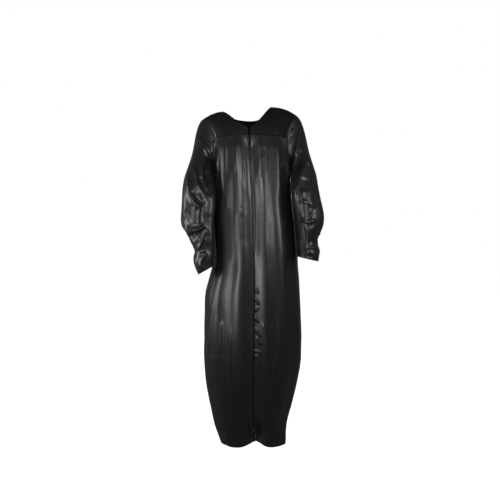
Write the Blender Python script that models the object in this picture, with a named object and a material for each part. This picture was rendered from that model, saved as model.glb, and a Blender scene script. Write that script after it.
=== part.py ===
import math

import bmesh
import bpy
import numpy as np
from mathutils import Matrix, Vector

# A worn graduation gown, hollow, in metres. +X is the viewer's right, the front faces -Y, +Z is up.
# The origin is between the shoulders, level with the neck points. Left and right are the viewer's.

# Cloth and seams
WALL = 0.002
SEAM_GAP = 0.0003
SLEEVE_SEAM_GAP = 0.00045
SIDE_POWER = 0.85

# Heights of the main seams and edges
HEM_HEIGHT = -1.41
FRONT_SEAM = -0.135
BACK_SEAM = -0.15
GATHER_RUN = 0.06

# Body sections, one row for each height, from the yoke down to the hem
BODY_COLUMNS = ("height", "left", "middle", "right", "front", "back")
BODY_SECTIONS = (
    (-0.090, -0.158, -0.004, 0.170, 0.096, 0.104),
    (-0.135, -0.158, -0.003, 0.172, 0.105, 0.112),
    (-0.250, -0.158, 0.000, 0.177, 0.124, 0.122),
    (-0.390, -0.158, 0.007, 0.180, 0.138, 0.130),
    (-0.500, -0.160, 0.011, 0.191, 0.147, 0.138),
    (-0.600, -0.155, 0.014, 0.201, 0.154, 0.146),
    (-0.660, -0.159, 0.016, 0.203, 0.157, 0.150),
    (-0.720, -0.174, 0.017, 0.206, 0.160, 0.153),
    (-0.765, -0.186, 0.017, 0.208, 0.162, 0.156),
    (-0.860, -0.190, 0.016, 0.213, 0.165, 0.160),
    (-0.980, -0.193, 0.015, 0.217, 0.167, 0.160),
    (-1.060, -0.192, 0.014, 0.213, 0.163, 0.154),
    (-1.157, -0.184, 0.012, 0.196, 0.150, 0.140),
    (-1.243, -0.168, 0.013, 0.176, 0.127, 0.122),
    (-1.329, -0.152, 0.016, 0.156, 0.104, 0.105),
    (-1.410, -0.125, 0.025, 0.152, 0.084, 0.090),
)

# Flutes of the body, a ridge or a valley each: where it runs in degrees from the centre front (left is
# negative), its half width in degrees at the top and at the hem, and its depth at four heights
FLUTE_COLUMNS = ("angle", "top_width", "hem_width", "chest", "thigh", "calf", "hem")
FLUTE_HEIGHTS = (-1.41, -1.15, -0.85, -0.30)
FLUTES = (
    (0, 10, 17.5, -0.009, -0.009, -0.018, -0.064),
    (-18, 8, 10, 0.006, 0.006, 0.004, 0.000),
    (-41, 11, 13, 0.008, 0.011, 0.009, 0.004),
    (-68, 11, 13, 0.000, 0.003, 0.006, 0.003),
    (13, 8, 10, 0.006, 0.007, 0.005, -0.002),
    (36, 11, 12, 0.008, 0.011, 0.009, 0.000),
    (64, 11, 13, 0.000, 0.006, 0.007, 0.006),
    (-178, 12, 14, 0.010, 0.014, 0.017, 0.020),
    (-150, 11, 13, 0.009, 0.012, 0.014, 0.018),
    (151, 11, 13, 0.010, 0.012, 0.015, 0.017),
    (-120, 11, 13, 0.006, 0.012, 0.013, 0.015),
    (122, 11, 13, 0.007, 0.012, 0.014, 0.016),
)

# Neck and shoulders on each side, the left one a little lower because the gown sits askew
SHOULDER_COLUMNS = ("neck_x", "neck_height", "tip_x", "tip_height", "slope_power")
SHOULDERS = {
    -1: (-0.1206, -0.010, -0.200, -0.040, 1.7),
    1: (0.0922, 0.0086, 0.200, -0.026, 2.2),
}
V_HEIGHT = -0.104
V_SAG = 0.009
BACK_NECK_HEIGHT = -0.026
BACK_NECK_POWER = 2.4

# Armholes: how far the yoke seams reach out, and how low the armhole goes
ARMHOLE_COLUMNS = ("front_reach", "back_reach", "underarm")
ARMHOLES = {
    -1: (-0.140, -0.143, -0.245),
    1: (0.153, 0.156, -0.245),
}

# Sleeve sections from the upper arm to the cuff. Each is tilted from its outer to its inner height.
SLEEVE_COLUMNS = ("outer_height", "inner_height", "outer_x", "inner_x", "front", "back")
SLEEVES = {
    -1: (
        (-0.232, -0.280, -0.254, -0.166, -0.100, 0.070),
        (-0.300, -0.318, -0.2715, -0.1610, -0.122, 0.052),
        (-0.352, -0.360, -0.2768, -0.1570, -0.146, 0.026),
        (-0.395, -0.400, -0.2763, -0.1535, -0.160, 0.010),
        (-0.450, -0.455, -0.2735, -0.1535, -0.166, -0.002),
        (-0.500, -0.505, -0.2724, -0.1535, -0.167, -0.010),
        (-0.525, -0.535, -0.2590, -0.1500, -0.163, -0.024),
        (-0.560, -0.570, -0.2436, -0.1480, -0.157, -0.038),
        (-0.600, -0.602, -0.2225, -0.1465, -0.151, -0.050),
        (-0.630, -0.628, -0.2260, -0.1465, -0.155, -0.053),
        (-0.660, -0.645, -0.2215, -0.1475, -0.155, -0.058),
        (-0.698, -0.664, -0.2060, -0.1480, -0.152, -0.063),
    ),
    1: (
        (-0.232, -0.280, 0.2620, 0.1830, -0.100, 0.070),
        (-0.290, -0.312, 0.2765, 0.1805, -0.122, 0.052),
        (-0.348, -0.356, 0.2810, 0.1785, -0.146, 0.026),
        (-0.395, -0.400, 0.2853, 0.1760, -0.160, 0.010),
        (-0.440, -0.445, 0.2910, 0.1790, -0.166, -0.002),
        (-0.475, -0.480, 0.2937, 0.1810, -0.168, -0.008),
        (-0.510, -0.515, 0.2900, 0.1830, -0.165, -0.018),
        (-0.545, -0.550, 0.2770, 0.1860, -0.156, -0.034),
        (-0.570, -0.573, 0.2700, 0.1880, -0.150, -0.044),
        (-0.600, -0.600, 0.2797, 0.1885, -0.154, -0.044),
        (-0.622, -0.615, 0.2776, 0.1900, -0.154, -0.048),
        (-0.646, -0.626, 0.2740, 0.1900, -0.151, -0.052),
    ),
}
# How far the sleeve runs straight on from the seam and back up from its first section, under the arm
# and over the shoulder
CAP_START = (0.017, 0.045)
CAP_END = (0.020, 0.070)

# Slumped folds of the sleeves: angle round the sleeve (0 is next to the body, 90 the front, 180 the
# outer side), half width in degrees, depth, height of the middle and half height of the run
SLEEVE_FOLD_COLUMNS = ("angle", "width", "depth", "height", "run")
SLEEVE_FOLDS = {
    -1: (
        (118, 26, 0.008, -0.33, 0.10),
        (62, 20, -0.008, -0.42, 0.12),
        (160, 24, 0.006, -0.47, 0.05),
        (250, 26, 0.008, -0.40, 0.13),
        (300, 22, -0.006, -0.36, 0.10),
        (90, 30, 0.005, -0.63, 0.03),
    ),
    1: (
        (70, 20, 0.007, -0.32, 0.10),
        (112, 24, -0.008, -0.40, 0.10),
        (150, 24, 0.006, -0.46, 0.06),
        (245, 26, 0.008, -0.40, 0.13),
        (300, 22, -0.006, -0.36, 0.10),
        (85, 30, 0.005, -0.60, 0.03),
    ),
}

# Zip: half gap between the front edges where it is closed and at the V, tape, slider and pull tab
CLOSED_HALF_GAP = 0.0045
OPEN_HALF_GAP = 0.0105
TOOTH_EDGE_SETBACK = 0.0035
TAPE_STEPS = (0.0045, 0.0100)
TAPE_THICKNESS = 0.0012
TAPE_CLEARANCE = 0.00035
SLIDER_HEIGHT = -0.206
PLATE_WIDTH = 0.0074
PLATE_LENGTH = 0.011
PLATE_THICKNESS = 0.0014
PLATE_CLEARANCE = 0.0007
WEB_WIDTH = 0.0011
WEB_LENGTH = 0.005
WEB_RISE = 0.001
BRIDGE_WIDTH = 0.0018
BRIDGE_LENGTH = 0.0094
BRIDGE_POST = 0.0014
BRIDGE_OPENING = 0.0024
BRIDGE_BAR = 0.0009
TAB_BAR = 0.0013
TAB_BAR_CLEARANCE = 0.0006
TAB_WIDTH = 0.0058
TAB_LENGTH = 0.030
TAB_THICKNESS = 0.0014
TAB_WINDOW_WIDTH = 0.0032
TAB_WINDOW_LENGTH = 0.0044
TAB_HOLE_RADIUS = 0.0012
TAB_HOLE_MARGIN = 0.0035
CUTTER_DEPTH = 0.01

# Mesh spacing, and the angles past which columns spread or close up to meet the armhole
FRONT_KNEE = math.radians(28)
BACK_KNEE = math.radians(152)
HEM_TO_UNDERARM_ROWS = 18
ARMHOLE_ROWS = 7
YOKE_ROWS = 5
NECK_COLUMNS = 9
SHOULDER_TOP_COLUMNS = 5
BACK_NECK_COLUMNS = 9
CAP_ROWS = 6
SLEEVE_ROWS = 15

# Colours as linear red, green, blue, then roughness and metallic
MATERIALS = {
    "polyester_satin": ((0.0075, 0.0075, 0.0085), 0.38, 0.0),
    "zip_tape": ((0.006, 0.006, 0.0065), 0.80, 0.0),
    "painted_zinc": ((0.012, 0.012, 0.013), 0.30, 0.6),
}


def clear_scene():
    for old in list(bpy.data.objects):
        bpy.data.objects.remove(old, do_unlink=True)


def column(rows, names, name):
    return np.array([row[names.index(name)] for row in rows], dtype=float)


def smooth_between(at, places, values):
    """A curve through the values, with the slope at each place taken from its two neighbours."""
    order = np.argsort(places)
    places = np.asarray(places, dtype=float)[order]
    values = np.asarray(values, dtype=float)[order]
    slopes = np.gradient(values, places)
    at = np.clip(at, places[0], places[-1])
    low = np.clip(np.searchsorted(places, at, side="right") - 1, 0, len(places) - 2)
    width = places[low + 1] - places[low]
    part = (at - places[low]) / width
    rise = values[low + 1] - values[low]
    first = slopes[low] * width
    last = slopes[low + 1] * width
    return values[low] + part * first + part**2 * (3 * rise - 2 * first - last) + part**3 * (first + last - 2 * rise)


def ease(part):
    part = np.clip(part, 0.0, 1.0)
    return part * part * (3 - 2 * part)


def unit(vectors):
    return vectors / np.maximum(np.linalg.norm(vectors, axis=-1, keepdims=True), 1e-12)


# Body

def body_value(name, height):
    return smooth_between(
        height, column(BODY_SECTIONS, BODY_COLUMNS, "height"), column(BODY_SECTIONS, BODY_COLUMNS, name)
    )


def half_width(side, height):
    middle = body_value("middle", height)
    return np.where(side > 0, body_value("right", height) - middle, middle - body_value("left", height))


def flute_depth(side, angle, height):
    """All flutes added up. They die out in the gathers under the yoke seams."""
    signed = np.degrees(angle) * side
    down = (height - FLUTE_HEIGHTS[-1]) / (FLUTE_HEIGHTS[0] - FLUTE_HEIGHTS[-1])
    total = np.zeros(np.broadcast(signed, height).shape)
    for row in FLUTES:
        flute = dict(zip(FLUTE_COLUMNS, row))
        away = (signed - flute["angle"] + 180.0) % 360.0 - 180.0
        width = flute["top_width"] + (flute["hem_width"] - flute["top_width"]) * np.clip(down, 0, 1)
        depths = (flute["hem"], flute["calf"], flute["thigh"], flute["chest"])
        total = total + smooth_between(height, FLUTE_HEIGHTS, depths) * np.exp(-((away / width) ** 2))
    seam = np.where(angle < math.pi / 2, FRONT_SEAM, BACK_SEAM)
    return total * ease((seam - height) / GATHER_RUN)


def body_surface(side, angle, height):
    """A point of the body: angle from the centre front (0) over the side seam to the centre back (pi)."""
    angle = np.asarray(angle, dtype=float)
    height = np.asarray(height, dtype=float)
    half = half_width(side, height)
    forward = np.cos(angle)
    depth = np.where(forward > 0, body_value("front", height), body_value("back", height))
    x = body_value("middle", height) + side * half * np.sin(angle)
    y = -np.sign(forward) * depth * np.abs(forward) ** SIDE_POWER
    out = flute_depth(side, angle, height)
    outward = unit(np.stack(np.broadcast_arrays(side * np.sin(angle) / half, -forward / depth), axis=-1))
    return np.stack(np.broadcast_arrays(x + out * outward[..., 0], y + out * outward[..., 1], height), axis=-1)


def angle_at(side, across, height):
    """The angle on the front of the body at a sideways distance from the centre front."""
    return np.arcsin(np.clip(across / half_width(side, height), -1, 1))


def surface_normal(surface, side, first, second, low, high):
    """The outward normal of a surface, from two small steps kept inside its limits."""
    step = 1e-4
    before = surface(side, np.maximum(first - step, low[0]), second)
    after = surface(side, np.minimum(first + step, high[0]), second)
    under = surface(side, first, np.maximum(second - step, low[1]))
    over = surface(side, first, np.minimum(second + step, high[1]))
    return unit(np.cross(after - before, over - under)) * side


def body_normal(side, angle, height, low, high):
    return surface_normal(body_surface, side, angle, height, (low, -2.0), (high, 0.0))


# Yokes

def neck_and_shoulder(side):
    return dict(zip(SHOULDER_COLUMNS, SHOULDERS[side]))


def armhole(side):
    return dict(zip(ARMHOLE_COLUMNS, ARMHOLES[side]))


def top_height(side, x):
    """Height of the shoulder line. Between the neck points it is the straight line that joins them."""
    here = neck_and_shoulder(side)
    there = neck_and_shoulder(-side)
    out = np.clip((x - here["neck_x"]) / (here["tip_x"] - here["neck_x"]), 0.0, 1.5)
    inside = (x - here["neck_x"]) / (there["neck_x"] - here["neck_x"])
    outside = here["neck_height"] + (here["tip_height"] - here["neck_height"]) * out ** here["slope_power"]
    between = here["neck_height"] + (there["neck_height"] - here["neck_height"]) * inside
    return np.where(inside > 0, between, outside)


def half_gap(height):
    """Half the gap between the front edges: constant where the zip is closed, wider above its slider."""
    opened = np.clip((height - SLIDER_HEIGHT) / (V_HEIGHT - SLIDER_HEIGHT), 0.0, 1.0)
    return CLOSED_HALF_GAP + (OPEN_HALF_GAP - CLOSED_HALF_GAP) * opened


def front_seam_angle(side):
    reach = abs(armhole(side)["front_reach"] - body_value("middle", FRONT_SEAM))
    return float(angle_at(side, reach, FRONT_SEAM))


def back_seam_angle(side):
    reach = abs(armhole(side)["back_reach"] - body_value("middle", BACK_SEAM))
    return math.pi - float(angle_at(side, reach, BACK_SEAM))


def front_top_x(side, angle):
    """Where the column that starts at this angle of the front yoke seam ends at the top of the yoke."""
    start = float(angle_at(side, half_gap(FRONT_SEAM) + TAPE_STEPS[1], FRONT_SEAM))
    out = np.clip((angle - start) / (front_seam_angle(side) - start), 0.0, 1.0)
    reach = neck_and_shoulder(side)["tip_x"] - armhole(side)["front_reach"]
    return body_surface(side, angle, FRONT_SEAM)[..., 0] + reach * out**2


def back_top_x(side, angle):
    out = np.clip((math.pi - angle) / (math.pi - back_seam_angle(side)), 0.0, 1.0)
    reach = neck_and_shoulder(side)["tip_x"] - armhole(side)["back_reach"]
    return body_surface(side, angle, BACK_SEAM)[..., 0] + reach * out**2


def yoke_surface(side, angle, turn, seam, top_x, shoulder_y):
    """A yoke turns over a quarter of an ellipse from its seam (0) to the shoulder line (pi / 2)."""
    base = body_surface(side, angle, seam)
    top = top_x(side, angle)
    cap = top_height(side, top)
    start = seam + SEAM_GAP
    x = base[..., 0] + (top - base[..., 0]) * ease(turn / (math.pi / 2))
    y = shoulder_y + (base[..., 1] - shoulder_y) * np.cos(turn)
    z = start + (cap - start) * np.sin(turn)
    return np.stack(np.broadcast_arrays(x, y, z), axis=-1)


def top_turn(side, angle, seam, top_x, edge_height):
    """How far each column of a yoke turns: to the shoulder line, or inside the neck points to its edge."""
    top = top_x(side, angle)
    cap = top_height(side, top)
    inside = side * (top - neck_and_shoulder(side)["neck_x"]) < -1e-6
    start = seam + SEAM_GAP
    edge = np.where(inside, np.clip((edge_height(side, top) - start) / (cap - start), 0.0, 1.0), 1.0)
    return np.arcsin(edge)


def v_edge(side, x):
    """Height of the V neck edge, with a slight sag between the neck point and the foot of the V."""
    neck = neck_and_shoulder(side)
    foot = body_value("middle", V_HEIGHT) + side * OPEN_HALF_GAP
    along = np.clip((x - foot) / (neck["neck_x"] - foot), 0.0, 1.0)
    return V_HEIGHT + (neck["neck_height"] - V_HEIGHT) * along - V_SAG * np.sin(math.pi * along)


def back_neck_edge(side, x):
    neck = neck_and_shoulder(side)
    middle = body_value("middle", BACK_SEAM)
    along = np.clip((x - middle) / (neck["neck_x"] - middle), 0.0, 1.0)
    return BACK_NECK_HEIGHT + (neck["neck_height"] - BACK_NECK_HEIGHT) * along**BACK_NECK_POWER


def front_yoke_surface(side, angle, turn):
    return yoke_surface(side, angle, turn, FRONT_SEAM, front_top_x, -SEAM_GAP / 2)


def back_yoke_surface(side, angle, turn):
    return yoke_surface(side, angle, turn, BACK_SEAM, back_top_x, SEAM_GAP / 2)


def yoke_normal(surface, side, angle, turn, low, high):
    return surface_normal(surface, side, angle, turn, (low, 0.0), (high, math.pi / 2))


# Walls

def wall_object(name, material, outer, inner, ring=False):
    """A closed wall between an outer and an inner grid of points. A ring joins its last column to its first."""
    rows, columns = outer.shape[:2]
    size = rows * columns
    points = np.concatenate([outer.reshape(-1, 3), inner.reshape(-1, 3)])
    number = np.arange(size).reshape(rows, columns)
    across = np.roll(number, -1, axis=1) if ring else number[:, 1:]
    here = number if ring else number[:, :-1]
    a, b = here[:-1].ravel(), across[:-1].ravel()
    c, d = across[1:].ravel(), here[1:].ravel()
    skin = np.concatenate([np.stack([a, b, c], axis=1), np.stack([a, c, d], axis=1)])
    faces = [skin, skin[:, ::-1] + size]
    rims = [(here[0], across[0]), (across[-1], here[-1])]
    if not ring:
        rims += [(number[1:, 0], number[:-1, 0]), (number[:-1, -1], number[1:, -1])]
    for start, end in rims:
        faces.append(np.stack([end, start, start + size], axis=1))
        faces.append(np.stack([end, start + size, end + size], axis=1))
    faces = np.concatenate(faces)
    corners = points[faces]
    volume = np.einsum("ij,ij->i", corners[:, 0], np.cross(corners[:, 1], corners[:, 2])).sum()
    if volume < 0:
        faces = faces[:, ::-1]
    mesh = bpy.data.meshes.new(name)
    mesh.from_pydata(points.tolist(), [], faces.tolist())
    return add_object(name, material, mesh)


def add_object(name, material, mesh):
    mesh.update()
    made = bpy.data.objects.new(name, mesh)
    gown.objects.link(made)
    colour, roughness, metallic = MATERIALS[material]
    look = bpy.data.materials.new(name + "_" + material)
    look.use_nodes = True
    shader = look.node_tree.nodes["Principled BSDF"]
    shader.inputs["Base Color"].default_value = (*colour, 1.0)
    shader.inputs["Roughness"].default_value = roughness
    shader.inputs["Metallic"].default_value = metallic
    mesh.materials.append(look)
    return made


# Rows and columns shared by the pieces that meet

def lower_heights(side):
    return np.linspace(HEM_HEIGHT, armhole(side)["underarm"], HEM_TO_UNDERARM_ROWS + 1)


def armhole_line(side, seam, seam_angle, steps):
    """The armhole edge below a yoke: a quarter of an ellipse from the underarm to the end of the seam."""
    turn = np.linspace(0.0, math.pi / 2, steps + 1)
    low = armhole(side)["underarm"]
    height = low + (seam - low) * (1 - np.cos(turn))
    angle = math.pi / 2 + (seam_angle - math.pi / 2) * np.sin(turn)
    return angle, height


def front_edges(side):
    """The height of each row of a front, and the angle where it ends at the side seam or the armhole."""
    arm_angle, arm_height = armhole_line(side, FRONT_SEAM, front_seam_angle(side), ARMHOLE_ROWS)
    heights = np.concatenate([lower_heights(side)[:-1], arm_height])
    ends = np.concatenate([np.full(HEM_TO_UNDERARM_ROWS, math.pi / 2), arm_angle])
    return heights, ends


def seam_columns(side, start, end, top_x, inner_columns):
    """Angles of the columns at a yoke seam from the start to the armhole, with one at the neck point."""
    fine = np.linspace(start, end, 400)
    neck = float(np.interp(side * neck_and_shoulder(side)["neck_x"], side * top_x(side, fine), fine))
    inner = np.linspace(start, neck, inner_columns + 1)
    return np.concatenate([inner, np.linspace(neck, end, SHOULDER_TOP_COLUMNS + 1)[1:]])


def stretch(angles, knee, ends):
    """Keeps the columns up to the knee where they are, and spreads those beyond it to each row's end."""
    beyond = np.clip((angles - knee) / (angles[-1] - knee), 0.0, None)
    return np.where(beyond[None, :] > 0, knee + beyond[None, :] * (ends - knee)[:, None], angles[None, :])


def front_angles(side, heights, ends):
    """The angle of every grid point of a front: the edge, the tape's width, then on to the row's end."""
    edge = half_gap(heights)
    near = [angle_at(side, edge + step, heights) for step in (0.0, *TAPE_STEPS)]
    start = float(angle_at(side, half_gap(FRONT_SEAM) + TAPE_STEPS[1], FRONT_SEAM))
    seam = seam_columns(side, start, front_seam_angle(side), front_top_x, NECK_COLUMNS)
    rest = stretch(seam, FRONT_KNEE, ends)[:, 1:]
    return np.concatenate([np.stack(near, axis=1), rest], axis=1)


def build_front(side, name):
    heights, ends = front_edges(side)
    angles = front_angles(side, heights, ends)
    height_grid = np.broadcast_to(heights[:, None], angles.shape)
    outer = body_surface(side, angles, height_grid)
    normal = body_normal(side, angles, height_grid, 0.0, math.pi / 2)
    inner = outer - WALL * normal
    side_rows = HEM_TO_UNDERARM_ROWS + 1
    outer[:side_rows, -1, 1] -= SEAM_GAP / 2
    inner[:side_rows, -1, 1] -= SEAM_GAP / 2
    return wall_object(name, "polyester_satin", outer, inner)


def yoke_turns(tops):
    return np.linspace(0.0, 1.0, YOKE_ROWS + 1)[:, None] * tops[None, :]


def build_front_yoke(side, name):
    angles = front_angles(side, np.array([FRONT_SEAM]), np.array([front_seam_angle(side)]))[0]
    turns = yoke_turns(top_turn(side, angles, FRONT_SEAM, front_top_x, v_edge))
    angles = np.broadcast_to(angles, turns.shape)
    outer = front_yoke_surface(side, angles, turns)
    normal = yoke_normal(front_yoke_surface, side, angles, turns, 0.0, front_seam_angle(side))
    return wall_object(name, "polyester_satin", outer, outer - WALL * normal)


def back_columns(side):
    return seam_columns(side, math.pi, back_seam_angle(side), back_top_x, BACK_NECK_COLUMNS)


def join_halves(make_half):
    """Left and right halves joined at the centre back, columns running from left to right."""
    left = [grid[:, ::-1] for grid in make_half(-1)]
    right = [grid[:, 1:] for grid in make_half(1)]
    return [np.concatenate(pair, axis=1) for pair in zip(left, right)]


def back_half(side):
    arm_angle, arm_height = armhole_line(side, BACK_SEAM, back_seam_angle(side), ARMHOLE_ROWS)
    heights = np.concatenate([lower_heights(side)[:-1], arm_height])
    ends = np.concatenate([np.full(HEM_TO_UNDERARM_ROWS, math.pi / 2), arm_angle])
    angles = stretch(back_columns(side), BACK_KNEE, ends)
    height_grid = np.broadcast_to(heights[:, None], angles.shape)
    outer = body_surface(side, angles, height_grid)
    inner = outer - WALL * body_normal(side, angles, height_grid, math.pi / 2, math.pi)
    side_rows = HEM_TO_UNDERARM_ROWS + 1
    outer[:side_rows, -1, 1] += SEAM_GAP / 2
    inner[:side_rows, -1, 1] += SEAM_GAP / 2
    return outer, inner


def back_yoke_half(side):
    angles = back_columns(side)
    turns = yoke_turns(top_turn(side, angles, BACK_SEAM, back_top_x, back_neck_edge))
    angles = np.broadcast_to(angles, turns.shape)
    outer = back_yoke_surface(side, angles, turns)
    normal = yoke_normal(back_yoke_surface, side, angles, turns, back_seam_angle(side), math.pi)
    return outer, outer - WALL * normal


# Sleeves

def armhole_loop(side):
    """Points and normals round the armhole: underarm, front, shoulder, back and down again."""
    points, normals = [], []
    angle, height = armhole_line(side, FRONT_SEAM, front_seam_angle(side), ARMHOLE_ROWS)
    points.append(body_surface(side, angle, height))
    normals.append(body_normal(side, angle, height, 0.0, math.pi / 2))
    turns = np.linspace(0.0, math.pi / 2, YOKE_ROWS + 1)
    front_end = np.full(YOKE_ROWS, front_seam_angle(side))
    points.append(front_yoke_surface(side, front_end, turns[1:]))
    normals.append(yoke_normal(front_yoke_surface, side, front_end, turns[1:], 0.0, front_seam_angle(side)))
    back_end = np.full(YOKE_ROWS, back_seam_angle(side))
    points.append(back_yoke_surface(side, back_end, turns[-2::-1]))
    normals.append(yoke_normal(back_yoke_surface, side, back_end, turns[-2::-1], back_seam_angle(side), math.pi))
    angle, height = armhole_line(side, BACK_SEAM, back_seam_angle(side), ARMHOLE_ROWS)
    points.append(body_surface(side, angle[-2:0:-1], height[-2:0:-1]))
    normals.append(body_normal(side, angle[-2:0:-1], height[-2:0:-1], math.pi / 2, math.pi))
    return np.concatenate(points), np.concatenate(normals)


def sleeve_section(side, turn, place):
    """A point of the sleeve below its cap: turn round the sleeve, place along the table of sections."""
    rows = SLEEVES[side]
    places = np.arange(len(rows))
    value = {
        name: smooth_between(place, places, column(rows, SLEEVE_COLUMNS, name)) for name in SLEEVE_COLUMNS
    }
    out = (1 - np.cos(turn)) / 2
    x = value["inner_x"] + (value["outer_x"] - value["inner_x"]) * out
    y = (value["front"] + value["back"]) / 2 - (value["back"] - value["front"]) / 2 * np.sin(turn)
    z = value["inner_height"] + (value["outer_height"] - value["inner_height"]) * out
    puff = np.zeros(np.shape(x))
    for row in SLEEVE_FOLDS[side]:
        fold = dict(zip(SLEEVE_FOLD_COLUMNS, row))
        away = (np.degrees(turn) - fold["angle"] + 180.0) % 360.0 - 180.0
        fall = np.exp(-((away / fold["width"]) ** 2) - ((z - fold["height"]) / fold["run"]) ** 2)
        puff = puff + fold["depth"] * fall
    return np.stack([x - side * puff * np.cos(turn), y - puff * np.sin(turn), z], axis=-1)


def sleeve_turns(loop):
    """The turn of each column: by the column's share of the armhole's length, half of it in front."""
    steps = np.linalg.norm(np.roll(loop, -1, axis=0) - loop, axis=1)
    top = ARMHOLE_ROWS + YOKE_ROWS
    front = np.concatenate([[0.0], np.cumsum(steps[:top])]) / steps[:top].sum()
    back = np.cumsum(steps[top:])[:-1] / steps[top:].sum()
    return np.concatenate([front, 1 + back]) * math.pi


def build_sleeve(side, name):
    loop, loop_normal = armhole_loop(side)
    along = unit(np.roll(loop, -1, axis=0) - np.roll(loop, 1, axis=0))
    leave = unit(np.cross(along, loop_normal)) * side
    turns = sleeve_turns(loop)
    first = sleeve_section(side, turns, np.zeros(turns.shape))
    down = unit(sleeve_section(side, turns, np.full(turns.shape, 0.05)) - first)
    over = (1 - np.cos(turns))[:, None] / 2
    start = loop + SLEEVE_SEAM_GAP * leave
    lead = start + leave * (CAP_START[0] + (CAP_START[1] - CAP_START[0]) * over)
    trail = first - down * (CAP_END[0] + (CAP_END[1] - CAP_END[0]) * over)
    rows = []
    for part in np.linspace(0.0, 1.0, CAP_ROWS + 1)[:-1]:
        rest = 1 - part
        rows.append(rest**3 * start + 3 * rest**2 * part * lead + 3 * rest * part**2 * trail + part**3 * first)
    for place in np.linspace(0.0, len(SLEEVES[side]) - 1.0, SLEEVE_ROWS + 1):
        rows.append(sleeve_section(side, turns, np.full(turns.shape, place)))
    outer = np.stack(rows)
    down_rows = np.gradient(outer, axis=0)
    round_columns = np.roll(outer, -1, axis=1) - np.roll(outer, 1, axis=1)
    normal = unit(np.cross(down_rows, round_columns)) * side
    normal[0] = loop_normal
    return wall_object(name, "polyester_satin", outer, outer - WALL * normal, ring=True)


# Zip

def tape_grid(side):
    """Outer points and normals of the cloth over one half of the tape, from the hem to the foot of the V."""
    heights, ends = front_edges(side)
    edge = half_gap(heights)
    across = [edge - TOOTH_EDGE_SETBACK, edge, edge + TAPE_STEPS[0], edge + TAPE_STEPS[1]]
    angles = np.stack([angle_at(side, far, heights) for far in across], axis=1)
    height_grid = np.broadcast_to(heights[:, None], angles.shape)
    points = body_surface(side, angles, height_grid)
    normals = body_normal(side, angles, height_grid, 0.0, math.pi / 2)
    foot = top_turn(side, angles[-1][1], FRONT_SEAM, front_top_x, v_edge)
    turns = np.array([[foot / 2] * 4, [foot] * 4])
    top_angles = np.broadcast_to(angles[-1], turns.shape)
    upper = front_yoke_surface(side, top_angles, turns)
    upper_normal = yoke_normal(front_yoke_surface, side, top_angles, turns, 0.0, front_seam_angle(side))
    return np.concatenate([points, upper]), np.concatenate([normals, upper_normal])


def build_tape(side, name):
    points, normals = tape_grid(side)
    outer = points - (WALL + TAPE_CLEARANCE) * normals
    return wall_object(name, "zip_tape", outer, outer - TAPE_THICKNESS * normals)


def slider_frame():
    """The slider's place: its origin on the tape's outer face, +X across, +Y out of the cloth, +Z up the zip."""
    low = body_surface(1, np.array(0.0), np.array(SLIDER_HEIGHT - PLATE_LENGTH))
    high = body_surface(1, np.array(0.0), np.array(SLIDER_HEIGHT + PLATE_LENGTH))
    middle = (low + high) / 2
    up = Vector((0.0, high[1] - low[1], high[2] - low[2])).normalized()
    across = Vector((-1.0, 0.0, 0.0))
    out = up.cross(across).normalized()
    place = Vector(middle) - out * (WALL + TAPE_CLEARANCE)
    turned = Matrix((across, out, up)).transposed().to_4x4()
    return Matrix.Translation(place) @ turned


def block(name, size, middle):
    mesh = bpy.data.meshes.new(name)
    shape = bmesh.new()
    bmesh.ops.create_cube(shape, size=1.0)
    bmesh.ops.scale(shape, vec=Vector(size), verts=shape.verts)
    bmesh.ops.translate(shape, vec=Vector(middle), verts=shape.verts)
    shape.to_mesh(mesh)
    shape.free()
    made = bpy.data.objects.new(name, mesh)
    cutters.objects.link(made)
    return made


def rod(name, radius, length, middle, axis):
    mesh = bpy.data.meshes.new(name)
    shape = bmesh.new()
    turned = Vector((0.0, 0.0, 1.0)).rotation_difference(Vector(axis)).to_matrix().to_4x4()
    bmesh.ops.create_cone(
        shape, cap_ends=True, segments=16, radius1=radius, radius2=radius, depth=length,
        matrix=Matrix.Translation(Vector(middle)) @ turned,
    )
    shape.to_mesh(mesh)
    shape.free()
    made = bpy.data.objects.new(name, mesh)
    cutters.objects.link(made)
    return made


def combine(name, material, frame, base, steps):
    """One solid from blocks and rods, each added or cut in turn, and then set in its frame."""
    for operation, tool in steps:
        change = base.modifiers.new(tool.name, "BOOLEAN")
        change.operation = operation
        change.solver = "EXACT"
        change.object = tool
    bpy.context.view_layer.update()
    ready = base.evaluated_get(bpy.context.evaluated_depsgraph_get())
    mesh = bpy.data.meshes.new_from_object(ready)
    mesh.name = name
    made = add_object(name, material, mesh)
    made.matrix_world = frame
    return made


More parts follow.
